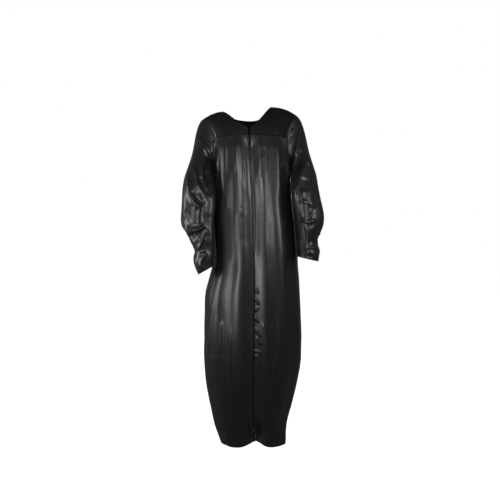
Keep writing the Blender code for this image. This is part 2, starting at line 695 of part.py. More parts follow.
def build_slider(frame):
    front_plate = PLATE_CLEARANCE + PLATE_THICKNESS / 2
    tape_back = TAPE_THICKNESS + PLATE_CLEARANCE
    back_plate = -tape_back - PLATE_THICKNESS / 2
    web_depth = tape_back + PLATE_CLEARANCE + PLATE_THICKNESS
    web_middle = (front_plate + back_plate) / 2
    plate_top = PLATE_CLEARANCE + PLATE_THICKNESS
    post_height = BRIDGE_OPENING + BRIDGE_BAR + PLATE_THICKNESS / 2
    post_middle = plate_top - PLATE_THICKNESS / 2 + post_height / 2
    post_place = (BRIDGE_LENGTH - BRIDGE_POST) / 2
    bar_middle = plate_top + BRIDGE_OPENING + BRIDGE_BAR / 2
    base = block("slider_front_plate", (PLATE_WIDTH, PLATE_THICKNESS, PLATE_LENGTH), (0, front_plate, 0))
    steps = (
        ("UNION", block("slider_web", (WEB_WIDTH, web_depth, WEB_LENGTH), (0, web_middle, WEB_RISE))),
        ("UNION", block("slider_back_plate", (PLATE_WIDTH, PLATE_THICKNESS, PLATE_LENGTH), (0, back_plate, 0))),
        ("UNION", block("bridge_top_post", (BRIDGE_WIDTH, post_height, BRIDGE_POST), (0, post_middle, post_place))),
        ("UNION", block("bridge_foot_post", (BRIDGE_WIDTH, post_height, BRIDGE_POST), (0, post_middle, -post_place))),
        ("UNION", block("bridge_bar", (BRIDGE_WIDTH, BRIDGE_BAR, BRIDGE_LENGTH), (0, bar_middle, 0))),
    )
    return combine("zip_slider", "painted_zinc", frame, base, steps)


def tab_axis(frame):
    """The pull tab turns on its own crossbar, low in the opening under the bridge."""
    out = PLATE_CLEARANCE + PLATE_THICKNESS + BRIDGE_OPENING / 2
    low = -(BRIDGE_LENGTH / 2 - BRIDGE_POST) + TAB_BAR / 2 + TAB_BAR_CLEARANCE
    return frame @ Matrix.Translation(Vector((0.0, out, low)))


def build_pull_tab(frame):
    """The tab hangs from its axis at the origin, +Y out of the cloth, its window round the bridge."""
    length = TAB_LENGTH - TAB_BAR / 2
    base = block("tab_plate", (TAB_WIDTH, TAB_THICKNESS, length), (0, 0, -length / 2))
    window = (TAB_WINDOW_WIDTH, CUTTER_DEPTH, TAB_WINDOW_LENGTH)
    window_middle = -(TAB_BAR + TAB_WINDOW_LENGTH) / 2
    hole_place = -TAB_LENGTH + TAB_HOLE_MARGIN
    steps = (
        ("UNION", rod("tab_crossbar", TAB_BAR / 2, TAB_WIDTH, (0, 0, 0), (1, 0, 0))),
        ("DIFFERENCE", block("tab_window", window, (0, 0, window_middle))),
        ("DIFFERENCE", rod("tab_hole", TAB_HOLE_RADIUS, CUTTER_DEPTH, (0, 0, hole_place), (0, 1, 0))),
    )
    return combine("zip_pull_tab", "painted_zinc", tab_axis(frame), base, steps)


def new_collection(name):
    made = bpy.data.collections.new(name)
    bpy.context.scene.collection.children.link(made)
    return made


clear_scene()
gown = new_collection("graduation_gown")
cutters = new_collection("cutters")

for side, word in ((-1, "left"), (1, "right")):
    build_front_yoke(side, "yoke_front_" + word)
    build_front(side, "front_" + word)
    build_sleeve(side, "sleeve_" + word)
    build_tape(side, "zip_tape_" + word)
wall_object("yoke_back", "polyester_satin", *join_halves(back_yoke_half))
wall_object("back", "polyester_satin", *join_halves(back_half))
build_slider(slider_frame())
build_pull_tab(slider_frame())
for tool in list(cutters.objects):
    tool.hide_render = True
    tool.display_type = "WIRE"
    tool.hide_set(True)
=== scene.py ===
import math

import bpy
import numpy as np
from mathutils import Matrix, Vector


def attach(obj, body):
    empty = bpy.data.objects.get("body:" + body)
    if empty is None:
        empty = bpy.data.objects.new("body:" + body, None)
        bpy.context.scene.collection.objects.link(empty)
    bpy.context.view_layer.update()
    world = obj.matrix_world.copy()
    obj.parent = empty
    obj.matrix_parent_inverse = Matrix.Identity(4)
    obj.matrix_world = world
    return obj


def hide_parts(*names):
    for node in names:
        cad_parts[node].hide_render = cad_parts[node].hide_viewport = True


# A graduation gown of black polyester satin, hollow and in the shape in which it is worn.
# Metres; +X is the viewer's right, the front faces -Y, +Z is up. Left and right are the viewer's.
# Tables of creases are in millimetres.

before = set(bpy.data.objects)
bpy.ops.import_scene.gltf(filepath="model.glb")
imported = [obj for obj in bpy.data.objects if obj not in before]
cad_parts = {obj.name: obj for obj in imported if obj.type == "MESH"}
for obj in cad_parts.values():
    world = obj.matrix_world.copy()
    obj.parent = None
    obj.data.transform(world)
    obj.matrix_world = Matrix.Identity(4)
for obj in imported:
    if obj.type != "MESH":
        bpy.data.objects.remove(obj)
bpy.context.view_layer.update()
print("frame loaded:", len(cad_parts), "nodes")

# Camera, light and floor
studio = {
    "eye": (0.0, -1.63, -0.60),
    "lens": 27.36,  # on a 36 mm sensor, for 380 px of focal length in 500 px
    "floorHeight": -1.519,
    "floorSize": 14.0,
    "floorGlow": (1.55, 2.4, 0.84, 1.05),  # from and to metres, from and to strength
    "surroundLight": 0.07,
    "readingPlane": 1.48,  # metres from the eye to the plane on which the front's creases were read
}
# Soft boxes: place, the point it faces, width, height, watts, tint
softBoxes = (
    ("sideBoxLeft", (-1.60, -0.10, -0.40), (0.0, -0.05, -0.50), 0.55, 1.3, 6, "#fcfdff"),
    ("sideStripLeft", (-1.45, -0.45, -0.25), (0.0, -0.05, -0.42), 0.12, 1.2, 3.0, "#fcfdff"),
    ("frontBoxLeft", (-0.85, -1.72, -0.30), (-0.05, -0.10, -0.42), 0.50, 1.00, 3.5, "#ffffff"),
    ("lowBoxLeft", (-0.80, -1.60, -0.78), (-0.08, -0.15, -0.80), 0.42, 0.55, 3, "#ffffff"),
    ("overCameraBox", (-0.18, -1.80, 0.33), (-0.05, -0.10, -0.30), 0.9, 0.34, 7, "#ffffff"),
    ("frontBoxRight", (1.05, -1.50, -0.08), (0.05, -0.10, -0.40), 0.40, 0.50, 2.5, "#fffefc"),
    ("sideStripRight", (1.15, -0.95, 0.05), (0.23, -0.05, -0.32), 0.12, 0.75, 3, "#fffefc"),
    ("backBox", (0.0, 2.2, 0.40), (0.0, 0.05, -0.60), 0.7, 1.2, 17, "#fcfdff"),
)


def linearColour(hexText):  # sRGB hex to linear light
    parts = [int(hexText[i:i + 2], 16) / 255 for i in (1, 3, 5)]
    return tuple(p / 12.92 if p <= 0.04045 else ((p + 0.055) / 1.055) ** 2.4 for p in parts) + (1.0,)


def addNode(tree, kind, links=None, **settings):
    # Adds a node; settings name its properties or sockets, links name its sockets and what feeds them.
    node = tree.nodes.new(kind)
    for name, value in settings.items():
        words = name.replace("_", " ")
        if words in node.inputs:
            node.inputs[words].default_value = value
        else:
            setattr(node, name, value)
    for name, source in (links or {}).items():
        tree.links.new(source, node.inputs[name])
    return node


def newMaterial(name):
    look = bpy.data.materials.new(name)
    look.use_nodes = True
    look.node_tree.nodes.clear()
    return look, look.node_tree


def mapRange(tree, source, ends, **settings):
    # Carries a value from between the first two ends to between the last two.
    ends = dict(zip(("From_Min", "From_Max", "To_Min", "To_Max"), ends))
    return addNode(tree, "ShaderNodeMapRange", {"Value": source}, **ends, **settings).outputs[0]


def principled(tree, links, **settings):
    shader = addNode(tree, "ShaderNodeBsdfPrincipled", links, **settings)
    addNode(tree, "ShaderNodeOutputMaterial", {"Surface": shader.outputs[0]})


def addObject(name, data):
    made = bpy.data.objects.new(name, data)
    bpy.context.scene.collection.objects.link(made)
    return made


def makeCamera():
    camera = addObject("camera", bpy.data.cameras.new("camera"))
    camera.data.sensor_width = 36
    camera.data.lens = studio["lens"]
    camera.location = studio["eye"]
    camera.rotation_euler = (math.radians(90), 0, 0)
    bpy.context.scene.camera = camera


def makeSoftBox(name, place, target, width, height, watts, tint):
    lamp = bpy.data.lights.new(name, "AREA")
    lamp.shape = "RECTANGLE"
    lamp.size, lamp.size_y = width, height
    lamp.energy = watts
    lamp.color = linearColour(tint)[:3]
    box = addObject(name, lamp)
    box.location = place
    box.rotation_euler = (Vector(target) - Vector(place)).to_track_quat("-Z", "Y").to_euler()
    box.visible_camera = False


def makeSurround():
    # White behind the object for the eye, and a dim grey all round for the light that falls on it.
    world = bpy.data.worlds.new("surround")
    bpy.context.scene.world = world
    world.use_nodes = True
    tree = world.node_tree
    tree.nodes.clear()
    dim, seen = (
        addNode(tree, "ShaderNodeBackground", Color=linearColour("#ffffff"), Strength=strength).outputs[0]
        for strength in (studio["surroundLight"], 1.0)
    )
    toEye = addNode(tree, "ShaderNodeLightPath").outputs["Is Camera Ray"]
    mixed = addNode(tree, "ShaderNodeMixShader", {0: toEye, 1: dim, 2: seen})
    addNode(tree, "ShaderNodeOutputWorld", {"Surface": mixed.outputs[0]})


def makeFloor():
    # A pale floor that glows towards white with the distance, and throws no light or reflection on the gown.
    half, low = studio["floorSize"] / 2, studio["floorHeight"]
    corners = [(-half, -half, low), (half, -half, low), (half, half, low), (-half, half, low)]
    mesh = bpy.data.meshes.new("floor")
    mesh.from_pydata(corners, [], [(0, 1, 2, 3)])
    look, tree = newMaterial("paleStudioFloor")
    place = addNode(tree, "ShaderNodeTexCoord").outputs["Object"]
    far = addNode(tree, "ShaderNodeVectorMath", {0: place}, operation="LENGTH").outputs["Value"]
    glow = mapRange(tree, far, studio["floorGlow"], interpolation_type="SMOOTHSTEP")
    pale, white = linearColour("#f2f2f2"), linearColour("#ffffff")
    principled(tree, {"Emission Strength": glow}, Base_Color=pale, Roughness=0.9, Emission_Color=white)
    mesh.materials.append(look)
    floor = addObject("floor", mesh)
    floor.visible_glossy = False
    floor.visible_diffuse = False


makeCamera()
for box in softBoxes:
    makeSoftBox(*box)
makeSurround()
makeFloor()
bpy.context.scene.view_settings.view_transform = "Standard"
print("camera, light and floor ready")


def ease(part):  # 0 to 1 with level ends: 3 p squared less 2 p cubed
    part = np.clip(part, 0.0, 1.0)
    return part * part * (3 - 2 * part)


def unit(vectors):  # each vector over its own length
    return vectors / np.maximum(np.linalg.norm(vectors, axis=-1, keepdims=True), 1e-12)


def stacked(*parts):  # x, y and z as points
    return np.stack(np.broadcast_arrays(*parts), axis=-1)


def runUp(lengths):  # 0, then the sum of all lengths so far
    return np.concatenate([[0.0], np.cumsum(lengths)])


def closed(points):  # a ring's first column again after its last
    return np.concatenate([points, points[:, :1]], axis=1)


def inMillimetres(points, axis):
    return points[..., axis] * 1000, points[..., 2] * 1000


def turnedFrom(degrees, centre):  # degrees from a centre, -180 to 180
    return (degrees - centre + 180.0) % 360.0 - 180.0


def bell(row, degrees, height):
    # The depth times exp(-(turn / width) squared - (climb / run) squared), both from the row's centre.
    centre, width, depth, level, run = row
    return depth * np.exp(-((turnedFrom(degrees, centre) / width) ** 2) - ((height - level) / run) ** 2)


def curveThrough(at, places, values):
    # A cubic through each pair of neighbouring values, its slope at each place taken from the two neighbours.
    order = np.argsort(places)
    places = np.asarray(places, dtype=float)[order]
    values = np.asarray(values, dtype=float)[order]
    slopes = np.gradient(values, places)
    at = np.clip(at, places[0], places[-1])
    low = np.clip(np.searchsorted(places, at, side="right") - 1, 0, len(places) - 2)
    width = places[low + 1] - places[low]
    part = (at - places[low]) / width
    rise = values[low + 1] - values[low]
    first, last = slopes[low] * width, slopes[low + 1] * width
    bend, twist = 3 * rise - 2 * first - last, first + last - 2 * rise
    return values[low] + part * first + part**2 * bend + part**3 * twist


def tableColumn(rows, names, name):
    return np.array([row[names.index(name)] for row in rows], dtype=float)


def waves(at, seed, lengths, heights, drift=0.0):
    # A sum of sines of the given lengths and heights, each started at a random place that the seed fixes.
    chance = np.random.default_rng(seed)
    total = 0.0
    for length, height in zip(lengths, heights):
        turn = 2 * math.pi * (at / length + chance.random()) + drift * chance.uniform(-1, 1)
        total = total + height * np.sin(turn)
    return total


def seenFromFront(points):
    # Where the front viewer sees a point against the upright reading plane, in millimetres.
    eye = studio["eye"]
    scale = studio["readingPlane"] / (points[..., 1] - eye[1])
    return points[..., 0] * scale * 1000, (eye[2] + (points[..., 2] - eye[2]) * scale) * 1000


creaseShape = {"samples": 6, "power": 1.7, "fade": 0.22, "least": 0.1}


def creaseField(across, up, rows):
    # Each row is a path, a half width, a height and, if the cloth hangs down there, a drop. The height falls
    # off with the distance from the path as exp(-(distance / width) to a power), and fades in and out over
    # the path's ends. The drop falls off alike.
    rise = np.zeros(across.shape)
    fall = np.zeros(across.shape)
    for path, width, height, *drop in rows:
        path = np.array(path, dtype=float)
        reach = runUp(np.linalg.norm(np.diff(path, axis=0), axis=1))
        steps = np.linspace(0.0, reach[-1], creaseShape["samples"] * len(path))
        line = np.stack([curveThrough(steps, reach, path[:, axis]) for axis in (0, 1)], axis=1)
        far = 3 * width
        near = (across > line[:, 0].min() - far) & (across < line[:, 0].max() + far)
        near &= (up > line[:, 1].min() - far) & (up < line[:, 1].max() + far)
        if not near.any():
            continue
        spot = np.stack([across[near], up[near]], axis=1)
        start, leg = line[:-1], np.diff(line, axis=0)
        part = np.einsum("pij,ij->pi", spot[:, None] - start, leg) / np.maximum((leg**2).sum(axis=1), 1e-9)
        part = np.clip(part, 0.0, 1.0)
        gap = np.linalg.norm(spot[:, None] - start - part[..., None] * leg, axis=2)
        best = gap.argmin(axis=1)
        index = np.arange(len(best))
        along = (best + part[index, best]) / len(leg)
        least = creaseShape["least"]
        fade = ease(along / creaseShape["fade"]) * ease((1 - along) / creaseShape["fade"]) * (1 - least) + least
        shape = np.exp(-((gap[index, best] / width) ** creaseShape["power"])) * fade
        rise[near] += height * shape
        fall[near] += (drop[0] if drop else 0.0) * shape
    return rise / 1000, fall / 1000


# The body's cut and large flutes, as the frame has them
body = {
    "columns": ("height", "left", "middle", "right", "front", "back"),
    "sections": (
        (-0.090, -0.158, -0.004, 0.170, 0.096, 0.104),
        (-0.135, -0.158, -0.003, 0.172, 0.105, 0.112),
        (-0.250, -0.158, 0.000, 0.177, 0.124, 0.122),
        (-0.390, -0.158, 0.007, 0.180, 0.138, 0.130),
        (-0.500, -0.160, 0.011, 0.191, 0.147, 0.138),
        (-0.600, -0.155, 0.014, 0.201, 0.154, 0.146),
        (-0.660, -0.159, 0.016, 0.203, 0.157, 0.150),
        (-0.720, -0.174, 0.017, 0.206, 0.160, 0.153),
        (-0.765, -0.186, 0.017, 0.208, 0.162, 0.156),
        (-0.860, -0.190, 0.016, 0.213, 0.165, 0.160),
        (-0.980, -0.193, 0.015, 0.217, 0.167, 0.160),
        (-1.060, -0.192, 0.014, 0.213, 0.163, 0.154),
        (-1.157, -0.184, 0.012, 0.196, 0.150, 0.140),
        (-1.243, -0.168, 0.013, 0.176, 0.127, 0.122),
        (-1.329, -0.152, 0.016, 0.156, 0.104, 0.105),
        (-1.410, -0.125, 0.025, 0.152, 0.084, 0.090),
    ),
    "fluteColumns": ("angle", "topWidth", "hemWidth", "chest", "thigh", "calf", "hem"),
    "flutes": (
        (0, 10, 17.5, -0.009, -0.009, -0.018, -0.064),
        (-18, 8, 10, 0.006, 0.006, 0.004, 0.000),
        (-41, 11, 13, 0.008, 0.011, 0.009, 0.004),
        (-68, 11, 13, 0.000, 0.003, 0.006, 0.003),
        (13, 8, 10, 0.006, 0.007, 0.005, -0.002),
        (36, 11, 12, 0.008, 0.011, 0.009, 0.000),
        (64, 11, 13, 0.000, 0.006, 0.007, 0.006),
        (-178, 12, 14, 0.010, 0.014, 0.017, 0.020),
        (-150, 11, 13, 0.009, 0.012, 0.014, 0.018),
        (151, 11, 13, 0.010, 0.012, 0.015, 0.017),
        (-120, 11, 13, 0.006, 0.012, 0.013, 0.015),
        (122, 11, 13, 0.007, 0.012, 0.014, 0.016),
    ),
    "fluteHeights": (-1.41, -1.15, -0.85, -0.30),
    # Where a sleeve's fold leans on the flank: angle, width, depth, height, run
    "presses": ((-70, 10, -0.0075, -0.305, 0.06), (75, 8, -0.0045, -0.275, 0.04)),
    "sidePower": 0.85,
    "hem": -1.41,
    "frontSeam": -0.135,
    "backSeam": -0.15,
    "gatherRun": 0.06,
    # Gathers and long ripples: seed, degrees for each wave, height of each
    "gatherWaves": (11, (2.9, 4.3, 6.1, 9.5), (0.0004, 0.0006, 0.0008, 0.0008)),
    "rippleWaves": (5, (5.3, 9.1, 15.5, 23), (0.00006, 0.00016, 0.0004, 0.0006)),
    "seamGap": 0.0003,
    "shoulderColumns": ("neckX", "neckHeight", "tipX", "tipHeight", "slope"),
    "shoulders": {-1: (-0.1206, -0.010, -0.200, -0.040, 1.7), 1: (0.0922, 0.0086, 0.200, -0.026, 2.2)},
    "vHeight": -0.104,
    "vSag": 0.009,
    "backNeck": -0.026,
    "backNeckPower": 2.4,
    "armholeColumns": ("frontReach", "backReach", "underarm"),
    "armholes": {-1: (-0.140, -0.143, -0.245), 1: (0.153, 0.156, -0.245)},
    "clothThickness": 0.0007,
    "hemFold": 0.018,
    "edgeStep": 0.0005,  # how far a turned-up edge stands out
    "stepRun": 0.0015,
    "seamRun": 0.006,  # metres below a seam in which the fine folds begin
    "gatherRuns": ((1.1, 0.030), (0.25, 0.13)),  # share and fading length of the gathers
    "rippleRun": 0.12,
    "rippleDrift": (2.2, 3.1, 0.7),  # radians to and fro, radians for each metre down, and the start
    "rippleBeat": (0.25, 9.0, 0.05),  # share, radians for each metre down, and for each degree round
    "turnRun": 0.16,  # radians in which front creases give way to back ones
    "sideRun": 0.55,
    "flankRun": 0.30,
    "flankCalm": 0.3,  # share of the gathers and ripples lost at the side seams
    "yokeRuns": (0.12, 0.25, 0.10),  # radians from seam, shoulder line and armhole in which dents begin
    "neckFold": 0.0075,
    "neckStep": 0.0006,
    "neckTurn": 0.12,  # metres of cloth for each radian of a yoke's turn, near the neck
    # Half width, half height and middle, below the slider's own height, of the cloth kept plain at the slider
    "sliderPatch": (0.012, 0.030, 0.008),
}
zipFly = {
    "closedHalfGap": 0.0045,
    "openHalfGap": 0.0105,
    "tapeSetback": 0.0035,
    "tapeReach": 0.0100,
    "tapeMiddle": (-0.0015, 0.0, 0.004),  # the lines between the tape's two edges
    "tapeDepth": 0.00235,  # from the cloth's face to the tape's
    "tapeThickness": 0.0006,
    "sliderHeight": -0.206,
    "toothPitch": 0.0026,
    "foldOver": 0.0024,  # how far the closed front edges roll in over the tape
    "rollStart": 0.014,  # below the slider
    "rollRun": 0.05,
    "toothSize": (0.0030, 0.0013, 0.00125),
    "toothLean": 0.22,
    "stopSize": (0.0036, 0.0018, 0.0034),
    "stopLean": 0.15,
    "toothRise": 0.0004,  # how far a tooth's middle stands above the tape's face
    "teethEnds": (0.006, 0.036),  # above the hem, below the V
    "stopEnds": (0.0035, 0.0345),
    "sliderClear": 0.0072,
}


def bodyValue(name, height):
    heights, values = (tableColumn(body["sections"], body["columns"], word) for word in ("height", name))
    return curveThrough(height, heights, values)


def seamHeight(front):
    return body["frontSeam" if front else "backSeam"]


def halfWidth(side, height):
    # From the middle line to the left or right outline, both curves through the table.
    middle = bodyValue("middle", height)
    return np.where(side > 0, bodyValue("right", height) - middle, middle - bodyValue("left", height))


def fluteDepth(side, angle, height):
    # Each flute is a bell over the angle, its depth a curve through four heights, and each press a bell over
    # the angle and the height. They add up, and fade in below the yoke seams.
    signed = np.degrees(angle) * side
    heights = body["fluteHeights"]
    down = np.clip((height - heights[-1]) / (heights[0] - heights[-1]), 0, 1)
    total = np.zeros(np.broadcast(signed, height).shape)
    for row in body["flutes"]:
        flute = dict(zip(body["fluteColumns"], row))
        width = flute["topWidth"] + (flute["hemWidth"] - flute["topWidth"]) * down
        depth = curveThrough(height, heights, [flute[name] for name in ("hem", "calf", "thigh", "chest")])
        total = total + depth * np.exp(-((turnedFrom(signed, flute["angle"]) / width) ** 2))
    for row in body["presses"]:
        total = total + bell(row, signed, height)
    seam = np.where(angle < math.pi / 2, body["frontSeam"], body["backSeam"])
    return total * ease((seam - height) / body["gatherRun"])


def bodySurface(side, angle, height):
    # x is the middle plus the half width times sin(angle); y is the depth times |cos(angle)| to a power;
    # the flutes then move the point along the outline's own outward direction.
    angle = np.asarray(angle, dtype=float)
    height = np.asarray(height, dtype=float)
    half = halfWidth(side, height)
    forward = np.cos(angle)
    depth = np.where(forward > 0, bodyValue("front", height), bodyValue("back", height))
    x = bodyValue("middle", height) + side * half * np.sin(angle)
    y = -np.sign(forward) * depth * np.abs(forward) ** body["sidePower"]
    out = fluteDepth(side, angle, height)
    outward = unit(stacked(side * np.sin(angle) / half, -forward / depth))
    return stacked(x + out * outward[..., 0], y + out * outward[..., 1], height)


def angleAt(side, across, height):
    # The angle whose sine is the distance from the middle over the half width.
    return np.arcsin(np.clip(across / halfWidth(side, height), -1, 1))


def normalOf(surface, side, first, second, low, high):
    # The cross product of two small steps on the surface, kept inside its limits.
    step = 1e-4
    before = surface(side, np.maximum(first - step, low[0]), second)
    after = surface(side, np.minimum(first + step, high[0]), second)
    under = surface(side, first, np.maximum(second - step, low[1]))
    over = surface(side, first, np.minimum(second + step, high[1]))
    return unit(np.cross(after - before, over - under)) * side


def bodyForm(side, angle, height, low, high):
    # The large form's points, and its outward directions between two angles.
    return bodySurface(side, angle, height), normalOf(bodySurface, side, angle, height, (low, -2.0), (high, 0.0))


def neckAndShoulder(side):
    return dict(zip(body["shoulderColumns"], body["shoulders"][side]))


def armhole(side):
    return dict(zip(body["armholeColumns"], body["armholes"][side]))


def halfGap(height):
    # The zip's half gap: even where it is closed, wider in a straight line from the slider up to the V.
    opened = np.clip((height - zipFly["sliderHeight"]) / (body["vHeight"] - zipFly["sliderHeight"]), 0.0, 1.0)
    return zipFly["closedHalfGap"] + (zipFly["openHalfGap"] - zipFly["closedHalfGap"]) * opened


def clothGap(height):
    # The cloth's own half gap: the zip's, less the roll of the edges, which ends below the slider.
    closed = ease((zipFly["sliderHeight"] - zipFly["rollStart"] - height) / zipFly["rollRun"])
    return halfGap(height) - zipFly["foldOver"] * closed


# Creases of the fronts, read on the front viewer's plane: path, half width, height
frontCreases = (
    (((-109, -150), (-118, -209), (-127, -263), (-134, -325)), 8.5, 1.5),
    (((-100, -150), (-97, -241), (-96, -303)), 8.5, 1.5),
    (((-52, -160), (-58, -241), (-67, -307)), 11, 1.8),
    (((-38, -160), (-31, -241), (-30, -307), (-33, -361)), 8.5, 2.1),
    (((-108, -361), (-113, -432), (-116, -494), (-125, -561), (-131, -619)), 5.5, 1.8),
    (((-85, -307), (-88, -379), (-91, -450)), 12.5, 1.8),
    (((-135, -255), (-136, -340), (-135, -450), (-131, -560), (-126, -640)), 4.5, 5.0),
    (((-125, -205), (-127, -300), (-126, -420), (-123, -540)), 4.5, 4.0),
    (((-13, -183), (-13, -307), (-9, -405)), 11, -1.8),
    (((-60, -441), (-63, -539), (-67, -663)), 17, 1.8),
    (((11, -294), (19, -361), (25, -450), (27, -539), (28, -659)), 8.5, 2.1),
    (((59, -150), (53, -196), (49, -210)), 5, 1.8),
    (((47, -223), (38, -272), (33, -325)), 10, 1.8),
    (((106, -150), (111, -241), (114, -325), (111, -405)), 10, 2.1),
    (((122, -196), (140, -258), (158, -316), (165, -396), (172, -472), (178, -539)), 6.5, 2.1),
    (((76, -160), (73, -241), (76, -307)), 7, 1.1),
    (((134, -370), (136, -494)), 20, -2.1),
    (((58, -307), (62, -405), (76, -494), (80, -539)), 11, 1.5),
    (((-31, -450), (-22, -583)), 22, -1.8),
    (((-67, -437), (-4, -436)), 3, -0.3),
    (((31, -436), (96, -436)), 3, -0.3),
    (((-71, -668), (-31, -667)), 3, 0.4),
    (((31, -655), (91, -657)), 3, -0.3),
    (((-143, -783), (-150, -859), (-158, -944), (-165, -1020)), 4.5, 3),
    (((-113, -868), (-113, -930), (-117, -1003)), 5, 3.5),
    (((-77, -897), (-78, -1020), (-76, -1143), (-72, -1218)), 5, 2.5),
    (((19, -745), (32, -769)), 3.2, 4),
    (((21, -788), (35, -814)), 3.2, 4),
    (((19, -840), (32, -823)), 3.2, 4),
    (((18, -859), (32, -882)), 3.2, 4),
    (((21, -904), (41, -939)), 3.2, 4.5),
    (((25, -939), (44, -972)), 3.2, 4),
    (((51, -878), (60, -930), (70, -989)), 6, 3),
    (((79, -887), (93, -939), (112, -991)), 6, 2.5),
    (((11, -992), (30, -996), (46, -1003)), 4, 3),
    (((20, -1003), (34, -1032), (24, -1062)), 8, 3),
    (((111, -745), (112, -859), (111, -1001), (93, -1076), (86, -1284)), 8, 3),
    (((-105, -1232), (-68, -1229)), 3, 1.5),
    (((-63, -1230), (-51, -1251), (-11, -1261)), 3, 1.2),
    (((-65, -1232), (-58, -1284), (-56, -1346)), 6, 2),
    (((1, -835), (8, -873)), 3, 1.5),
    (((7, -906), (13, -930)), 3, 2),
    (((-150, -1003), (-115, -1009), (-90, -1013)), 6, -0.7),
    (((13, -1132), (13, -1144)), 4, 2.5),
    (((12, -1186), (12, -1200)), 4, 2.5),
    (((13, -1304), (13, -1318)), 4, 2.5),
)
# Creases of the back, by x and z
backCreases = (
    (((-112, -175), (-118, -290), (-108, -420)), 7, 3),
    (((-78, -170), (-70, -260), (-74, -360)), 6, 2.5),
    (((-30, -168), (-36, -300), (-26, -470)), 8, 3.5),
    (((22, -170), (30, -250), (26, -330)), 6, 2.5),
    (((64, -172), (56, -320), (68, -500)), 8, 3.5),
    (((108, -175), (116, -270), (110, -390)), 6, 3),
    (((-140, -300), (-146, -420), (-138, -560)), 6, 2.5),
    (((150, -310), (158, -440), (150, -600)), 6, 2.5),
    (((-96, -520), (-104, -700), (-98, -860)), 9, 3),
    (((8, -560), (16, -760), (6, -980)), 9, 3),
    (((104, -600), (112, -780), (104, -900)), 8, 3),
    (((-150, -760), (-140, -920), (-146, -1080)), 6, 2.5),
    (((-60, -930), (-52, -1080), (-60, -1260)), 7, 2.5),
    (((70, -980), (78, -1120), (70, -1290)), 7, 2.5),
    (((-120, -436), (-20, -439)), 3, -1),
    (((20, -437), (120, -434)), 3, -1),
    (((-130, -664), (-10, -668)), 3, 1.2),
    (((-140, -1004), (150, -1008)), 3.5, -1.4),
    (((-90, -1230), (60, -1233)), 3, 1.2),
)
# Creases of the two sides below the cuffs, by y and z
sideCreases = {
    -1: (
        (((-62, -700), (-52, -830), (-64, -990)), 8, 2.6),
        (((14, -660), (22, -800), (6, -980), (14, -1120)), 9, 3.0),
        (((70, -700), (58, -860), (66, -1010)), 8, 2.6),
        (((-34, -960), (-24, -1100), (-38, -1290)), 8, 2.4),
        (((46, -1000), (34, -1160), (42, -1330)), 8, 2.6),
        (((-8, -1140), (2, -1250), (-6, -1380)), 7, 2.2),
    ),
    1: (
        (((-70, -690), (-58, -850), (-68, -1040)), 8, 2.6),
        (((-8, -650), (-16, -790), (0, -960)), 9, 3.0),
        (((52, -680), (66, -840), (56, -1000), (62, -1130)), 8, 2.6),
        (((-28, -1000), (-40, -1150), (-26, -1310)), 8, 2.4),
        (((26, -1020), (36, -1190), (24, -1350)), 8, 2.6),
        (((-4, -1180), (-12, -1290), (-2, -1390)), 7, 2.0),
    ),
}


def bodyRise(side, angle, height, points):
    # What the fine folds add to the large form: gathers that die out below the yoke seams, long soft
    # ripples, placed creases, and the turned-up hem. None of it moves the cloth beside the zip's slider.
    signed = np.degrees(angle) * side
    inFront = ease((math.pi / 2 - angle) / body["turnRun"])
    inBack = ease((angle - math.pi / 2) / body["turnRun"])
    atSide = np.exp(-(((angle - math.pi / 2) / body["sideRun"]) ** 4))
    seam = np.where(angle < math.pi / 2, body["frontSeam"], body["backSeam"])
    below = np.maximum(seam - height, 0.0)
    seamFade = ease(below / body["seamRun"])
    gathers = waves(signed, *body["gatherWaves"])
    gathers = gathers * sum(np.exp(-below / run) * share for share, run in body["gatherRuns"])
    reach, pace, start = body["rippleDrift"]
    ripples = waves(signed, *body["rippleWaves"], reach * np.sin(height * pace + start))
    share, pace, twist = body["rippleBeat"]
    beat = 1 - share + share * np.sin(height * pace + signed * twist)
    ripples = ripples * ease(below / body["rippleRun"]) * beat
    sides = np.exp(-(((angle - math.pi / 2) / body["flankRun"]) ** 2))
    rise = (gathers + ripples) * seamFade * (1 - body["flankCalm"] * sides)
    fall = np.zeros(rise.shape)
    for rows, share, (across, up) in (
        (frontCreases, inFront, seenFromFront(points)),
        (backCreases, inBack, inMillimetres(points, 0)),
        (sideCreases[side], atSide, inMillimetres(points, 1)),
    ):
        if share.max() > 0:
            more, drop = creaseField(across, up, rows)
            rise = rise + more * share * seamFade
            fall = fall + drop * share * seamFade
    rise = rise + body["edgeStep"] * ease((body["hem"] + body["hemFold"] - height) / body["stepRun"])
    middle = np.abs(points[..., 0] - bodyValue("middle", height))
    wide, tall, under = body["sliderPatch"]
    climb = height - zipFly["sliderHeight"] + under
    plain = np.exp(-((middle / wide) ** 2) - (climb / tall) ** 4) * inFront
    return rise * (1 - plain), fall * (1 - plain)


def bodyCloth(side, angle, height, low=0.0, high=math.pi / 2):
    # The large form, moved out along its own normal by the fine folds and down by their drop.
    angle, height = np.broadcast_arrays(np.asarray(angle, dtype=float), np.asarray(height, dtype=float))
    points, normals = bodyForm(side, angle, height, low, high)
    rise, fall = bodyRise(side, angle, height, points)
    moved = points + rise[..., None] * normals
    moved[..., 2] -= fall
    return moved, normals


def topHeight(side, x):
    # The shoulder line: from the neck point down to the tip by a power of the way out; straight between necks.
    here, there = neckAndShoulder(side), neckAndShoulder(-side)
    out = np.clip((x - here["neckX"]) / (here["tipX"] - here["neckX"]), 0.0, 1.5)
    inside = (x - here["neckX"]) / (there["neckX"] - here["neckX"])
    outside = here["neckHeight"] + (here["tipHeight"] - here["neckHeight"]) * out ** here["slope"]
    between = here["neckHeight"] + (there["neckHeight"] - here["neckHeight"]) * inside
    return np.where(inside > 0, between, outside)


